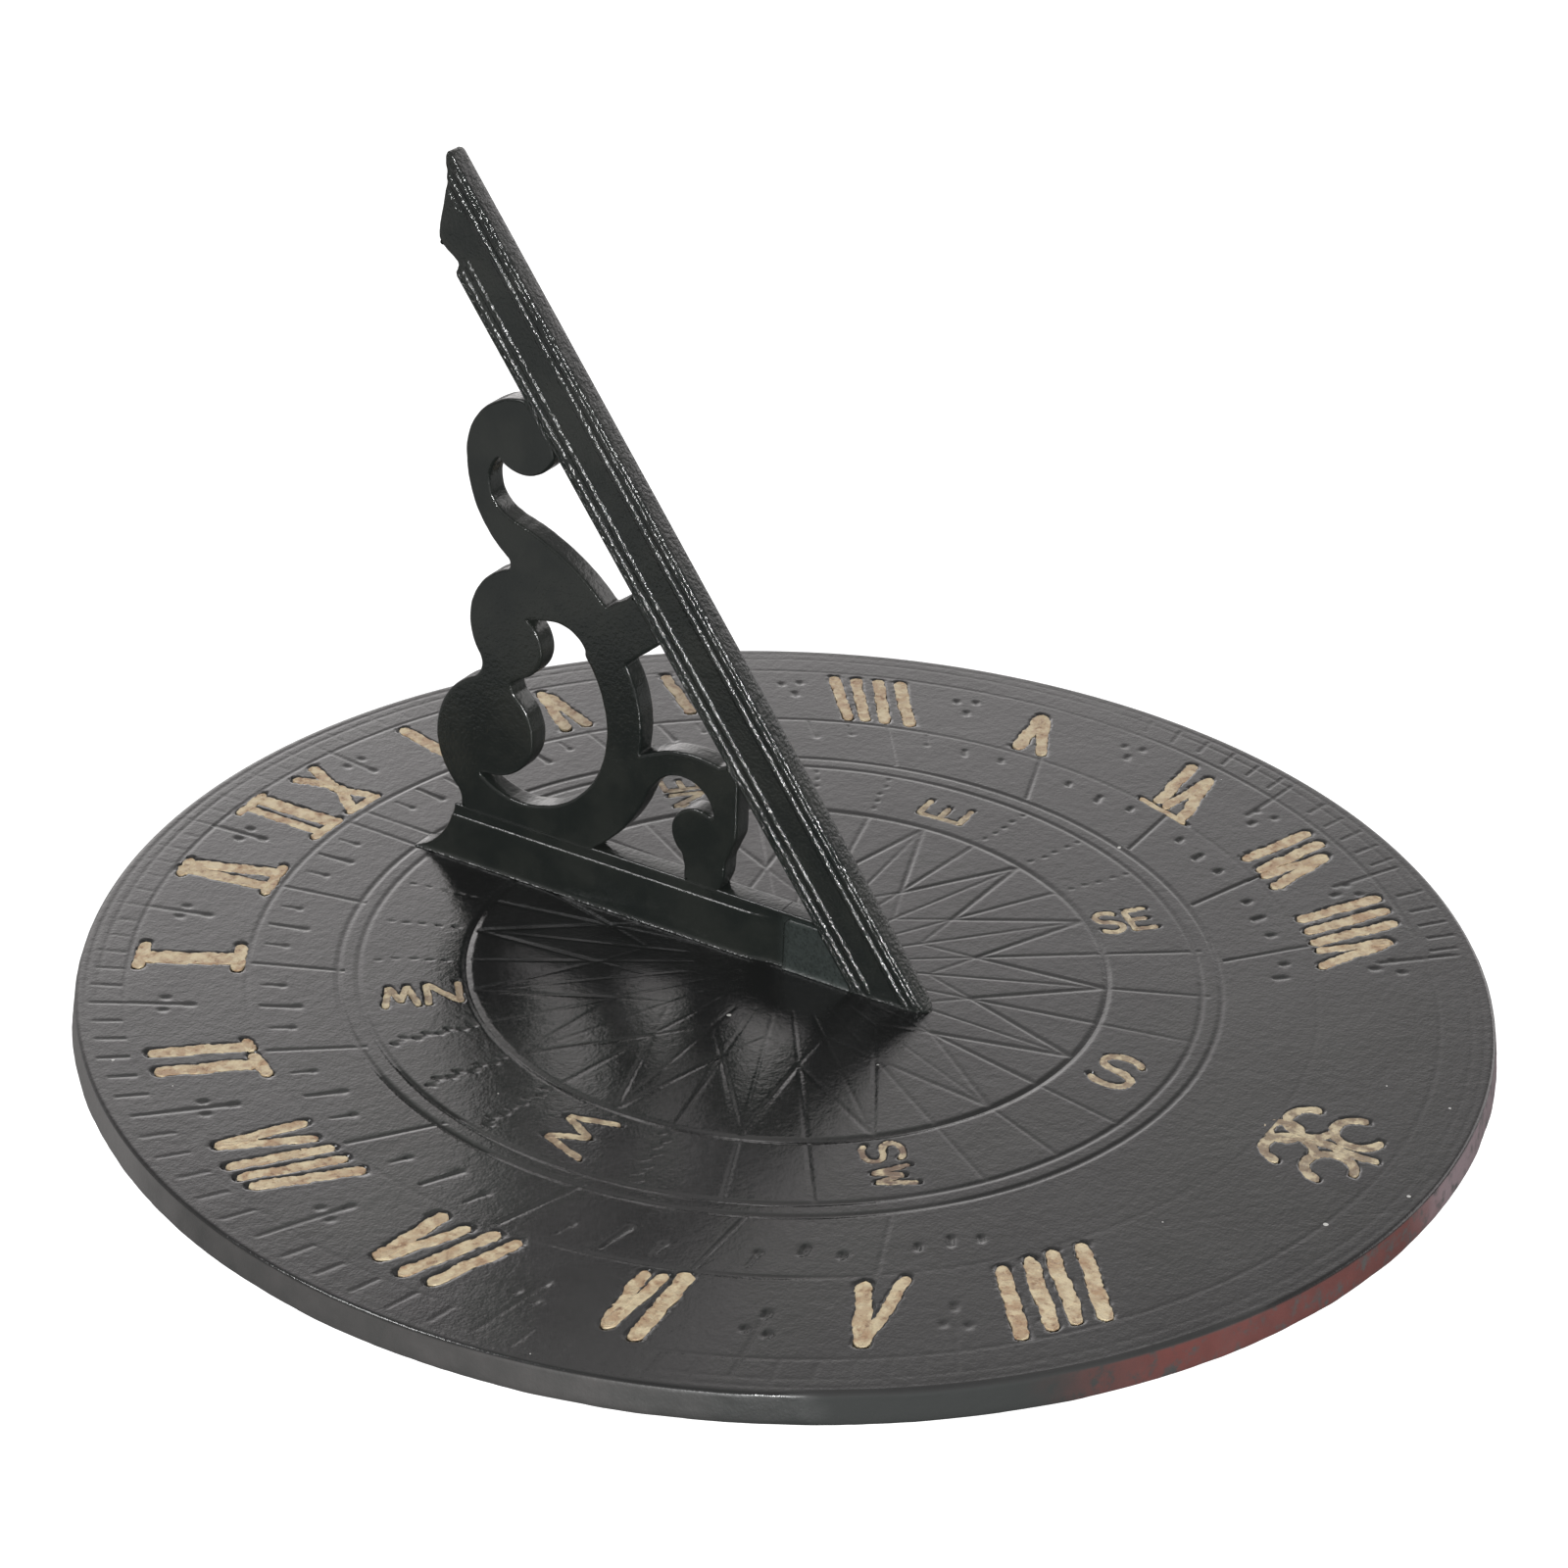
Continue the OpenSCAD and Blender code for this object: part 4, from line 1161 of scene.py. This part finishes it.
def shared_group(name, inputs, outputs, fill):
    """The node group of a name, made once. fill takes its graph and inputs and returns its outputs."""
    if name in bpy.data.node_groups:
        return bpy.data.node_groups[name]
    tree = bpy.data.node_groups.new(name, "ShaderNodeTree")
    sockets = tree.interface
    sockets.new_socket("Vector", in_out="INPUT", socket_type="NodeSocketVector")
    for label, default in inputs.items():
        sockets.new_socket(label, in_out="INPUT", socket_type="NodeSocketFloat").default_value = default
    for label in outputs:
        sockets.new_socket(label, in_out="OUTPUT", socket_type="NodeSocketFloat")
    start, end = tree.nodes.new("NodeGroupInput"), tree.nodes.new("NodeGroupOutput")
    for label, value in zip(outputs, fill(Graph(tree), start.outputs)):
        tree.links.new(value, end.inputs[label])
    return tree


def paint_grain_group():
    """Brushed paint: height of its grain and orange peel, broad patches as a mask, and the grain alone."""
    def fill(g, given):
        grain = g.noise(given["Vector"], given["Grain Size"], 3.0, 0.6)
        peel = g.noise(given["Vector"], given["Peel Size"], 2.0)
        patches = g.noise(given["Vector"], given["Patch Size"], 4.0, 0.6)
        return g.plus(g.times(grain, given["Grain Share"]), peel), g.remap(patches, 0.38, 0.64), grain

    inputs = {"Grain Size": 0.0005, "Peel Size": 0.002, "Patch Size": 0.03, "Grain Share": 0.5}
    return shared_group("Paint grain", inputs, ("Height", "Patches", "Grain"), fill)


def dust_group():
    """Mask of scattered dust specks: the cores of a few of the cells of a Voronoi pattern."""
    def fill(g, given):
        density = g.calc("DIVIDE", 1.0, given["Spacing"])
        cells = g.node("TexVoronoi", {"Vector": given["Vector"], "Scale": density})
        chance, spread, _ = g.node("SeparateColor", (cells.outputs["Color"],)).outputs
        size = g.times(given["Speck Size"], g.plus(spread, 0.4))
        core = g.calc("LESS_THAN", cells.outputs["Distance"], size)
        return (g.times(g.calc("LESS_THAN", chance, given["Share"]), core),)

    return shared_group("Dust specks", {"Spacing": 0.006, "Share": 0.2, "Speck Size": 0.07}, ("Mask",), fill)


def finish(name, paint):
    """The material of a name, made once. paint takes its graph, shader and Object coordinates."""
    if name in bpy.data.materials:
        return bpy.data.materials[name]
    material = bpy.data.materials.new(name)
    material.use_nodes = True
    graph = Graph(material.node_tree)
    where = graph.node("TexCoord").outputs["Object"]
    paint(graph, material.node_tree.nodes["Principled BSDF"], where)
    return material


EDGE_BAND = (0.1478, 0.1482)    # radius where the plate's face ends and its edge begins
# Parts of the edge, in degrees from north: middle, and the half widths where a tone ends and where it is
# full. The dark part is painted shade and the pale part painted light; the rubbed part is only rougher.
PAINTED_SHADE_PART, PAINTED_LIGHT_PART, RUBBED_RIM = (-127.5, 26.0, 8.0), (-46.0, 24.0, 8.0), (-135.0, 22.0, 14.0)
# In degrees from south, east positive: the mauve part, and where the red starts and ends
MAUVE_RIM, RED_RIM = (6.0, 16.0, 7.0), ((-47.0, -34.0), (30.0, 18.0))
EDGE_PAINT = ((0.018, 0.019, 0.018), (0.046, 0.043, 0.042))
# Colours of the painted shade and the painted light on those parts of the edge
PAINTED_SHADE_ON_EDGE, PAINTED_LIGHT_ON_EDGE = (0.008, 0.0095, 0.009), (0.085, 0.082, 0.080)
MAUVE_PRIMER = (0.135, 0.100, 0.108)
PLATE_DUST, GNOMON_DUST = (0.42, 0.42, 0.40), (0.30, 0.30, 0.29)
# Lighter colour of the toe block's panel: a painted reflection
TOE_PAINTED_REFLECTION = (0.021, 0.026, 0.0245)


def paint_plate(g, shader, where):
    """Satin black paint with fine grain, dull patches and dust; part of the edge is bare red primer, and two
    other parts of the edge carry painted shade and painted light.
    """
    colours = bpy.context.scene.sundial_finish
    height, patches, _ = g.place(paint_grain_group(), where, Grain_Size=0.0006, Peel_Size=0.0022,
                                 Patch_Size=0.035, Grain_Share=0.7)
    dust = g.place(dust_group(), where, Spacing=0.0085, Share=0.16, Speck_Size=0.045)["Mask"]
    x, y, z = g.axes(where)
    radius = g.radius(x, y)
    waver = g.times(g.noise(where, 0.012, 3.0), 9.0)
    from_north = g.plus(g.azimuth(x, y), waver)
    from_south = g.calc("SUBTRACT", g.azimuth(x, g.times(y, -1.0)), waver)
    south = g.times(*(g.remap(from_south, *ends) for ends in RED_RIM))
    on_edge = g.remap(g.plus(radius, g.times(z, -0.25)), *EDGE_BAND)
    worn = g.remap(g.noise(where, 0.0032, 4.0, 0.65), 0.30, 0.52)
    bare = g.times(south, on_edge, worn)
    base = g.blend(patches, colours.plate_paint, toned(colours.plate_paint, 1.4))
    edge_tone = g.blend(g.noise(where, 0.006, 4.0, 0.6), *EDGE_PAINT)
    # Painted shade on the edge in the south-west and painted light on it in the north-west
    edge_tone = g.blend(g.within(from_north, *PAINTED_SHADE_PART), edge_tone, PAINTED_SHADE_ON_EDGE)
    edge_tone = g.blend(g.within(from_north, *PAINTED_LIGHT_PART), edge_tone, PAINTED_LIGHT_ON_EDGE)
    base = g.blend(on_edge, base, edge_tone)
    red = g.blend(g.noise(where, 0.004, 4.0), colours.rim_oxide, toned(colours.rim_oxide, 0.55))
    red = g.blend(g.within(from_south, *MAUVE_RIM), red, MAUVE_PRIMER)
    base = g.blend(g.times(bare, 0.92), base, red)
    base = g.blend(g.times(dust, 0.8), base, PLATE_DUST)
    g.plug(shader.inputs["Base Color"], base)
    rough = g.plus(0.10, g.times(patches, 0.07), g.times(g.noise(where, 0.004, 2.0), 0.06))
    rough = g.calc("MAXIMUM", rough, g.times(on_edge, 0.5))
    rubbed = g.times(g.remap(radius, *EDGE_BAND), g.within(from_north, *RUBBED_RIM), 0.85)
    g.plug(shader.inputs["Roughness"], g.plus(g.calc("MAXIMUM", rough, rubbed), g.times(bare, 0.12)))
    shader.inputs["IOR"].default_value = 1.5
    g.bump(shader, height, 0.00012, 0.6)


def paint_gnomon(g, shader, where):
    """Thicker black paint: grain that is coarse on the bar, dust, and on the toe block a duller coat whose
    lighter colour is a painted reflection.
    """
    dark, size = bpy.context.scene.sundial_finish.gnomon_paint, gnomon()
    height, patches, _ = g.place(paint_grain_group(), where, Grain_Size=0.0008, Peel_Size=0.0016,
                                 Patch_Size=0.014, Grain_Share=1.2)
    dust = g.place(dust_group(), where, Spacing=0.006, Share=0.12, Speck_Size=0.045)["Mask"]
    base = g.blend(patches, dark, toned(dark, 1.5, 1.4, 1.35))
    base = g.blend(g.times(dust, 0.6), base, GNOMON_DUST)
    _, y, z = g.axes(where)
    face, under = dial().plate_top * MM, size.depth * MM
    below = g.calc("SUBTRACT", g.times(g.plus(y, -BAR_FOOT * MM), math.sin(size.slope)),
                   g.times(g.plus(z, -face), math.cos(size.slope)))
    # The toe block's panel: its lighter, patchy colour is a painted reflection, its higher roughness a duller
    # coat
    toe = g.times(g.remap(below, under + 0.0001, under + 0.0004), g.remap(y, 0.0024, -0.0022),
                  g.remap(z, face + LIP_START[0] * MM, face + PANEL_TOP * MM),
                  g.remap(g.noise(where, 0.0007, 4.0, 0.75), 0.3, 0.7, 0.35, 1.0))
    g.plug(shader.inputs["Base Color"], g.blend(toe, base, TOE_PAINTED_REFLECTION))
    g.plug(shader.inputs["Roughness"], g.plus(0.12, g.times(patches, 0.07), g.times(toe, 0.3)))
    shader.inputs["IOR"].default_value = 1.45
    g.bump(shader, g.times(height, g.remap(below, under + 0.0003, under, 0.35, 1.0)), 0.0002, 0.95)


def paint_gilt(g, shader, where):
    """Matt gold paint, uneven: thin reddish places and pale ones, duller letters and sprig, and painted shade
    on the gold in the south-west of the letter ring.
    """
    gold = bpy.context.scene.sundial_finish.gilt
    height, patches, _ = g.place(paint_grain_group(), where, Grain_Size=0.0005, Peel_Size=0.0012,
                                 Patch_Size=0.006, Grain_Share=0.9)
    thin = g.remap(g.noise(where, 0.0015, 5.0, 0.7), 0.50, 0.68)
    pale = g.remap(g.noise(where, 0.0028, 3.0, 0.6), 0.42, 0.62)
    x, y, _ = g.axes(where)
    radius = g.radius(x, y)
    letters = g.remap(radius, 0.098, 0.106, 0.62, 0.0)
    sprig = g.times(g.remap(y, -0.109, -0.112), g.remap(g.calc("ABSOLUTE", x), 0.022, 0.019))
    # Painted shade: darker, bluer gold in the south-west of the letter ring
    south_west_shade = g.times(g.remap(g.plus(x, y), -0.092, -0.096), g.remap(radius, 0.098, 0.092))
    base = g.blend(patches, gold, toned(gold, 0.80, 0.68, 0.62))
    for share, factors in ((g.times(thin, 0.7), (0.36, 0.22, 0.2)),
                           (g.calc("MAXIMUM", letters, g.times(sprig, 0.72)), (0.40, 0.40, 0.44)),
                           (g.times(south_west_shade, 0.6), (0.30, 0.26, 0.34)),
                           (g.times(pale, 0.75), (1.35, 1.48, 1.55))):
        base = g.blend(share, base, toned(gold, *factors))
    g.plug(shader.inputs["Base Color"], base)
    g.plug(shader.inputs["Roughness"], g.plus(0.5, g.times(thin, 0.2)))
    shader.inputs["Metallic"].default_value = 0.15
    g.bump(shader, height, 0.00025, 0.8)


def paint_brass(g, shader, where):
    """Dull brass with a fine grain and darker patches."""
    tone = bpy.context.scene.sundial_finish.brass
    height, patches, grain = g.place(paint_grain_group(), where, Grain_Size=0.0003, Peel_Size=0.001,
                                     Patch_Size=0.003, Grain_Share=0.8)
    g.plug(shader.inputs["Base Color"], g.blend(patches, tone, toned(tone, 0.45)))
    g.plug(shader.inputs["Roughness"], g.plus(0.32, g.times(grain, 0.2)))
    shader.inputs["Metallic"].default_value = 1.0
    g.bump(shader, height, 0.00005, 0.6)


def paint_floor(g, shader, _where):
    """Matt grey in all reflected light, and near white to the camera alone."""
    shader.inputs["Base Color"].default_value = (0.3, 0.3, 0.3, 1.0)
    shader.inputs["Roughness"].default_value = 0.9
    shader.inputs["Emission Color"].default_value = (1.0, 1.0, 1.0, 1.0)
    seen = g.node("LightPath").outputs["Is Camera Ray"]
    g.plug(shader.inputs["Emission Strength"], g.times(seen, 0.95))


# Operators: one for each piece or group of like pieces


class SUNDIAL_OT_rose_field(bpy.types.Operator):
    """Builds the middle of the plate with the compass rose."""

    bl_idname = "sundial.rose_field"
    bl_label = "Compass rose"

    def execute(self, context):
        strokes, middle = rose_strokes(), 38.0
        hub_rays, rays = (np.arange(count) * 360 / count - 180 for count in (600, 840))
        plate_zone("rose_hub", spaced(0.6, middle, 0.46, 0.4, lambda v: v > 30), hub_rays, 0.0, strokes, [],
                   under=screw_recess)
        plate_zone("rose_points", np.linspace(middle, dial().rose_radius, 76), rays, 0.0, strokes, [])
        return {"FINISHED"}


class SUNDIAL_OT_letter_ring(bpy.types.Operator):
    """Builds the ring of compass letters and the marks between them."""

    bl_idname = "sundial.letter_ring"
    bl_label = "Letter ring"

    def execute(self, context):
        d = dial()
        strokes = letter_ring_strokes()
        letters = near_azimuths([entry[1] for entry in LETTERS], 6.5)
        marks = near_azimuths(on_rays(strokes, 0.0, (d.rose_radius + d.letter_ring_radius) / 2), 1.1)
        azimuths = around(0.7, 0.29, lambda v: marks(v) | letters(v))
        radii = spaced(d.rose_radius, d.letter_ring_radius, 0.42, 0.32, lambda v: v > 87.5)
        plate_zone("letter_ring", radii, azimuths, 0.0, strokes + rose_strokes() + hour_scale_strokes(),
                   path_strokes(letter_paths()), under=screw_recess)
        return {"FINISHED"}


class SUNDIAL_OT_hour_ring(bpy.types.Operator):
    """Builds the hour scale."""

    bl_idname = "sundial.hour_ring"
    bl_label = "Hour scale"

    def execute(self, context):
        d = dial()
        strokes = hour_scale_strokes()
        inner, outer = d.letter_ring_radius, d.hour_ring_radius
        spots = on_rays(strokes, -d.hour_centre, (inner + outer) / 2)
        azimuths = around(0.62, 0.24, near_azimuths(spots, 0.7))
        radii = spaced(inner, outer, 0.42, 0.3, lambda v: (v < 96.2) | (v > 111.0))
        plate_zone("hour_ring", radii, azimuths, -d.hour_centre, strokes, path_strokes(numeral_paths()))
        return {"FINISHED"}


class SUNDIAL_OT_numeral_ring(bpy.types.Operator):
    """Builds the ring under the numerals and the south ornament."""

    bl_idname = "sundial.numeral_ring"
    bl_label = "Numeral ring"

    def execute(self, context):
        d = dial()
        strokes = half_hour_strokes() + hour_scale_strokes() + minute_strokes()
        recesses = path_strokes(numeral_paths() + sprig_paths())
        inner, outer = d.hour_ring_radius, d.minute_ring_radius
        spots = on_rays(recesses + half_hour_strokes(), -d.hour_centre, (inner + outer) / 2)
        azimuths = around(0.6, 0.235, near_azimuths(spots, 0.85))
        radii = spaced(inner, outer, 0.46, 0.34, lambda v: (v < 115.6) | (v > 136.4))
        plate_zone("numeral_ring", radii, azimuths, -d.hour_centre, strokes, recesses)
        return {"FINISHED"}


class SUNDIAL_OT_minute_rim(bpy.types.Operator):
    """Builds the minute ring and the plate's edge."""

    bl_idname = "sundial.minute_rim"
    bl_label = "Minute ring and rim"

    def execute(self, context):
        d = dial()
        strokes = half_hour_strokes() + minute_strokes()
        inner, edge = d.minute_ring_radius, d.plate_radius - 1.0
        spots = on_rays(strokes, -d.hour_centre, (inner + edge) / 2)
        azimuths = around(0.5, 0.2, near_azimuths(spots, 0.5))
        radii = spaced(inner, edge, 0.42, 0.24, lambda v: (v < 140.5) | (v > 148.0))
        rim = [(d.plate_radius - inset, height) for inset, height in RIM_PROFILE]
        plate_zone("minute_rim", radii, azimuths, -d.hour_centre, strokes, path_strokes(numeral_paths()),
                   rim=rim)
        return {"FINISHED"}


class SUNDIAL_OT_gilding(bpy.types.Operator):
    """Fills the numerals, the compass letters and the south ornament with gold paint."""

    bl_idname = "sundial.gilding"
    bl_label = "Gold paint"

    def execute(self, context):
        gilt_piece("gilt_numerals", numeral_paths(), "hour_numerals", 300)
        gilt_piece("gilt_letters", letter_paths(), "compass_letters", 500)
        gilt_piece("gilt_sprig", sprig_paths(), "south_ornament", 700)
        return {"FINISHED"}


class SUNDIAL_OT_gnomon(bpy.types.Operator):
    """Builds the style bar, the scroll bracket, the foot rail and the toe block."""

    bl_idname = "sundial.gnomon"
    bl_label = "Gnomon"

    def execute(self, context):
        paint = finish("Gnomon paint", paint_gnomon)
        for name, solid, replaced, merge in (("beaded_style", style_bar_solid(), "style_bar", MERGE),
                                             ("moulded_rail", foot_rail_solid(), "foot_rail", MERGE),
                                             ("toe_web", toe_block_solid(), "toe_block", MERGE),
                                             ("pierced_scroll", scroll_solid(), "scroll_bracket", 0.0)):
            make_piece(name, [solid], paint, [replaced], merge=merge, sharp=55)
        return {"FINISHED"}


class SUNDIAL_OT_fasteners(bpy.types.Operator):
    """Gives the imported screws, dowels and pins their brass finish."""

    bl_idname = "sundial.fasteners"
    bl_label = "Fasteners"

    def execute(self, context):
        brass = finish("Dull brass", paint_brass)
        for name in ("foot_screws", "base_dowels", "bracket_pins"):
            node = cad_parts[name]
            node.data.materials.clear()
            node.data.materials.append(brass)
        return {"FINISHED"}


FLOOR_REACH = 6.0
CAMERA_PLACE, CAMERA_TARGET = Vector((-0.6068, -0.3508, 0.4284)), Vector((0.0679, 0.04185, 0.0065))
CAMERA_ROLL = 0.0348    # radians
CAMERA_LENS, CAMERA_SENSOR = 88.05, 36.0


def area_light(name, place, target, size, power):
    """A rectangular soft light at a place, aimed at a target, both in metres."""
    light = bpy.data.lights.new(name, "AREA")
    light.shape = "RECTANGLE"
    light.size, light.size_y = size
    light.energy = power
    lamp = link(name, light)
    lamp.location = place
    lamp.rotation_mode = "QUATERNION"
    lamp.rotation_quaternion = (Vector(target) - Vector(place)).to_track_quat("-Z", "Y")


def studio_world():
    """Soft surroundings: bright on the far side of the dial and in the east, dark low down elsewhere.

    To the camera alone they are white.
    """
    world = bpy.data.worlds.new("Studio")
    bpy.context.scene.world = world
    world.use_nodes = True
    g = Graph(world.node_tree)
    sky = world.node_tree.nodes["Background"]
    x, y, z = g.axes(g.node("TexCoord").outputs["Generated"])
    azimuth = g.azimuth(x, y)
    away = g.calc("ABSOLUTE", g.calc("SUBTRACT", azimuth, 50.0))
    open_sky = g.plus(g.times(g.remap(z, 0.75, 0.2), 0.35), 0.40)
    shade = g.times(g.remap(z, 0.44, 0.18), g.remap(away, 52.0, 76.0, 0.0, 0.78))
    window = g.plus(g.times(g.remap(z, 0.62, 0.42), 0.5), 0.45)
    core = g.times(g.within(azimuth, 46.0, 14.0, 2.0), g.remap(z, 0.72, 0.46))
    side = g.times(g.within(azimuth, 118.0, 26.0, 8.0), g.remap(z, 0.26, 0.44), g.remap(z, 0.66, 0.52))
    east = g.times(g.within(azimuth, 95.0, 26.0, 10.0), g.remap(z, 0.40, 0.24))
    glow = g.plus(g.times(open_sky, g.calc("SUBTRACT", 1.0, shade)),
                  g.times(g.remap(away, 36.0, 12.0), window),
                  g.times(core, 0.75), g.plus(g.times(side, 1.9), g.times(east, 1.2)))
    seen = g.node("LightPath").outputs["Is Camera Ray"]
    g.plug(sky.inputs["Strength"], g.calc("MAXIMUM", glow, seen))
    sky.inputs["Color"].default_value = (1.05, 1.015, 1.01, 1.0)


class SUNDIAL_OT_stage(bpy.types.Operator):
    """Sets up the pale floor, the soft lights and the camera."""

    bl_idname = "sundial.stage"
    bl_label = "Stage"

    def execute(self, context):
        scene = context.scene
        studio_world()
        floor_mesh = bpy.data.meshes.new("floor")
        corners = [(x * FLOOR_REACH, y * FLOOR_REACH, 0) for x, y in ((-1, -1), (1, -1), (1, 1), (-1, 1))]
        floor_mesh.from_pydata(corners, [], [(0, 1, 2, 3)])
        floor_mesh.materials.append(finish("Pale floor", paint_floor))
        link("floor", floor_mesh)
        area_light("key_light", (-1.35, -1.04, 0.62), (0.0, 0.0, 0.06), (0.15, 0.26), 55.0)
        area_light("edge_light", (-0.75, 0.75, 1.25), (0.0, 0.0, 0.04), (0.5, 0.3), 9.0)
        camera = bpy.data.cameras.new("camera")
        camera.sensor_width, camera.lens = CAMERA_SENSOR, CAMERA_LENS
        camera.clip_start, camera.clip_end = 0.02, 30.0
        eye = link("camera", camera)
        ahead = (CAMERA_TARGET - CAMERA_PLACE).normalized()
        level = Vector((ahead.y, -ahead.x, 0.0)).normalized()
        right = level * math.cos(CAMERA_ROLL) + level.cross(ahead) * math.sin(CAMERA_ROLL)
        turned = Matrix((right, right.cross(ahead), -ahead)).transposed().to_4x4()
        eye.matrix_world = Matrix.Translation(CAMERA_PLACE) @ turned
        scene.camera = eye
        scene.view_settings.view_transform = "Standard"
        return {"FINISHED"}


class SUNDIAL_PT_panel(bpy.types.Panel):
    """Lists the sundial's building steps and its sizes."""

    bl_label = "Sundial"
    bl_space_type = "VIEW_3D"
    bl_region_type = "UI"
    bl_category = "Sundial"

    def draw(self, context):
        layout = self.layout
        for group in ("sundial_dial", "sundial_gnomon", "sundial_finish"):
            box = layout.box()
            settings = getattr(context.scene, group)
            for name in settings.__annotations__:
                box.prop(settings, name)
        for step in STEPS:
            layout.operator(step.bl_idname)


STEPS = (SUNDIAL_OT_rose_field, SUNDIAL_OT_letter_ring, SUNDIAL_OT_hour_ring, SUNDIAL_OT_numeral_ring,
         SUNDIAL_OT_minute_rim, SUNDIAL_OT_gilding, SUNDIAL_OT_gnomon, SUNDIAL_OT_fasteners, SUNDIAL_OT_stage)
GROUPS = (("sundial_dial", DialSizes), ("sundial_gnomon", GnomonSizes), ("sundial_finish", FinishColours))


def register():
    """Makes the settings, the steps and the panel known to Blender."""
    for name, group in GROUPS:
        bpy.utils.register_class(group)
        setattr(bpy.types.Scene, name, bpy.props.PointerProperty(type=group))
    for step in STEPS:
        bpy.utils.register_class(step)
    bpy.utils.register_class(SUNDIAL_PT_panel)


def unregister():
    """Takes back what register did."""
    bpy.utils.unregister_class(SUNDIAL_PT_panel)
    for step in reversed(STEPS):
        bpy.utils.unregister_class(step)
    for name, group in reversed(GROUPS):
        delattr(bpy.types.Scene, name)
        bpy.utils.unregister_class(group)


def main():
    register()
    bpy.ops.sundial.rose_field()
    bpy.ops.sundial.letter_ring()
    bpy.ops.sundial.hour_ring()
    bpy.ops.sundial.numeral_ring()
    bpy.ops.sundial.minute_rim()
    bpy.ops.sundial.gilding()
    bpy.ops.sundial.gnomon()
    bpy.ops.sundial.fasteners()
    bpy.ops.sundial.stage()


if __name__ == "__main__":
    main()
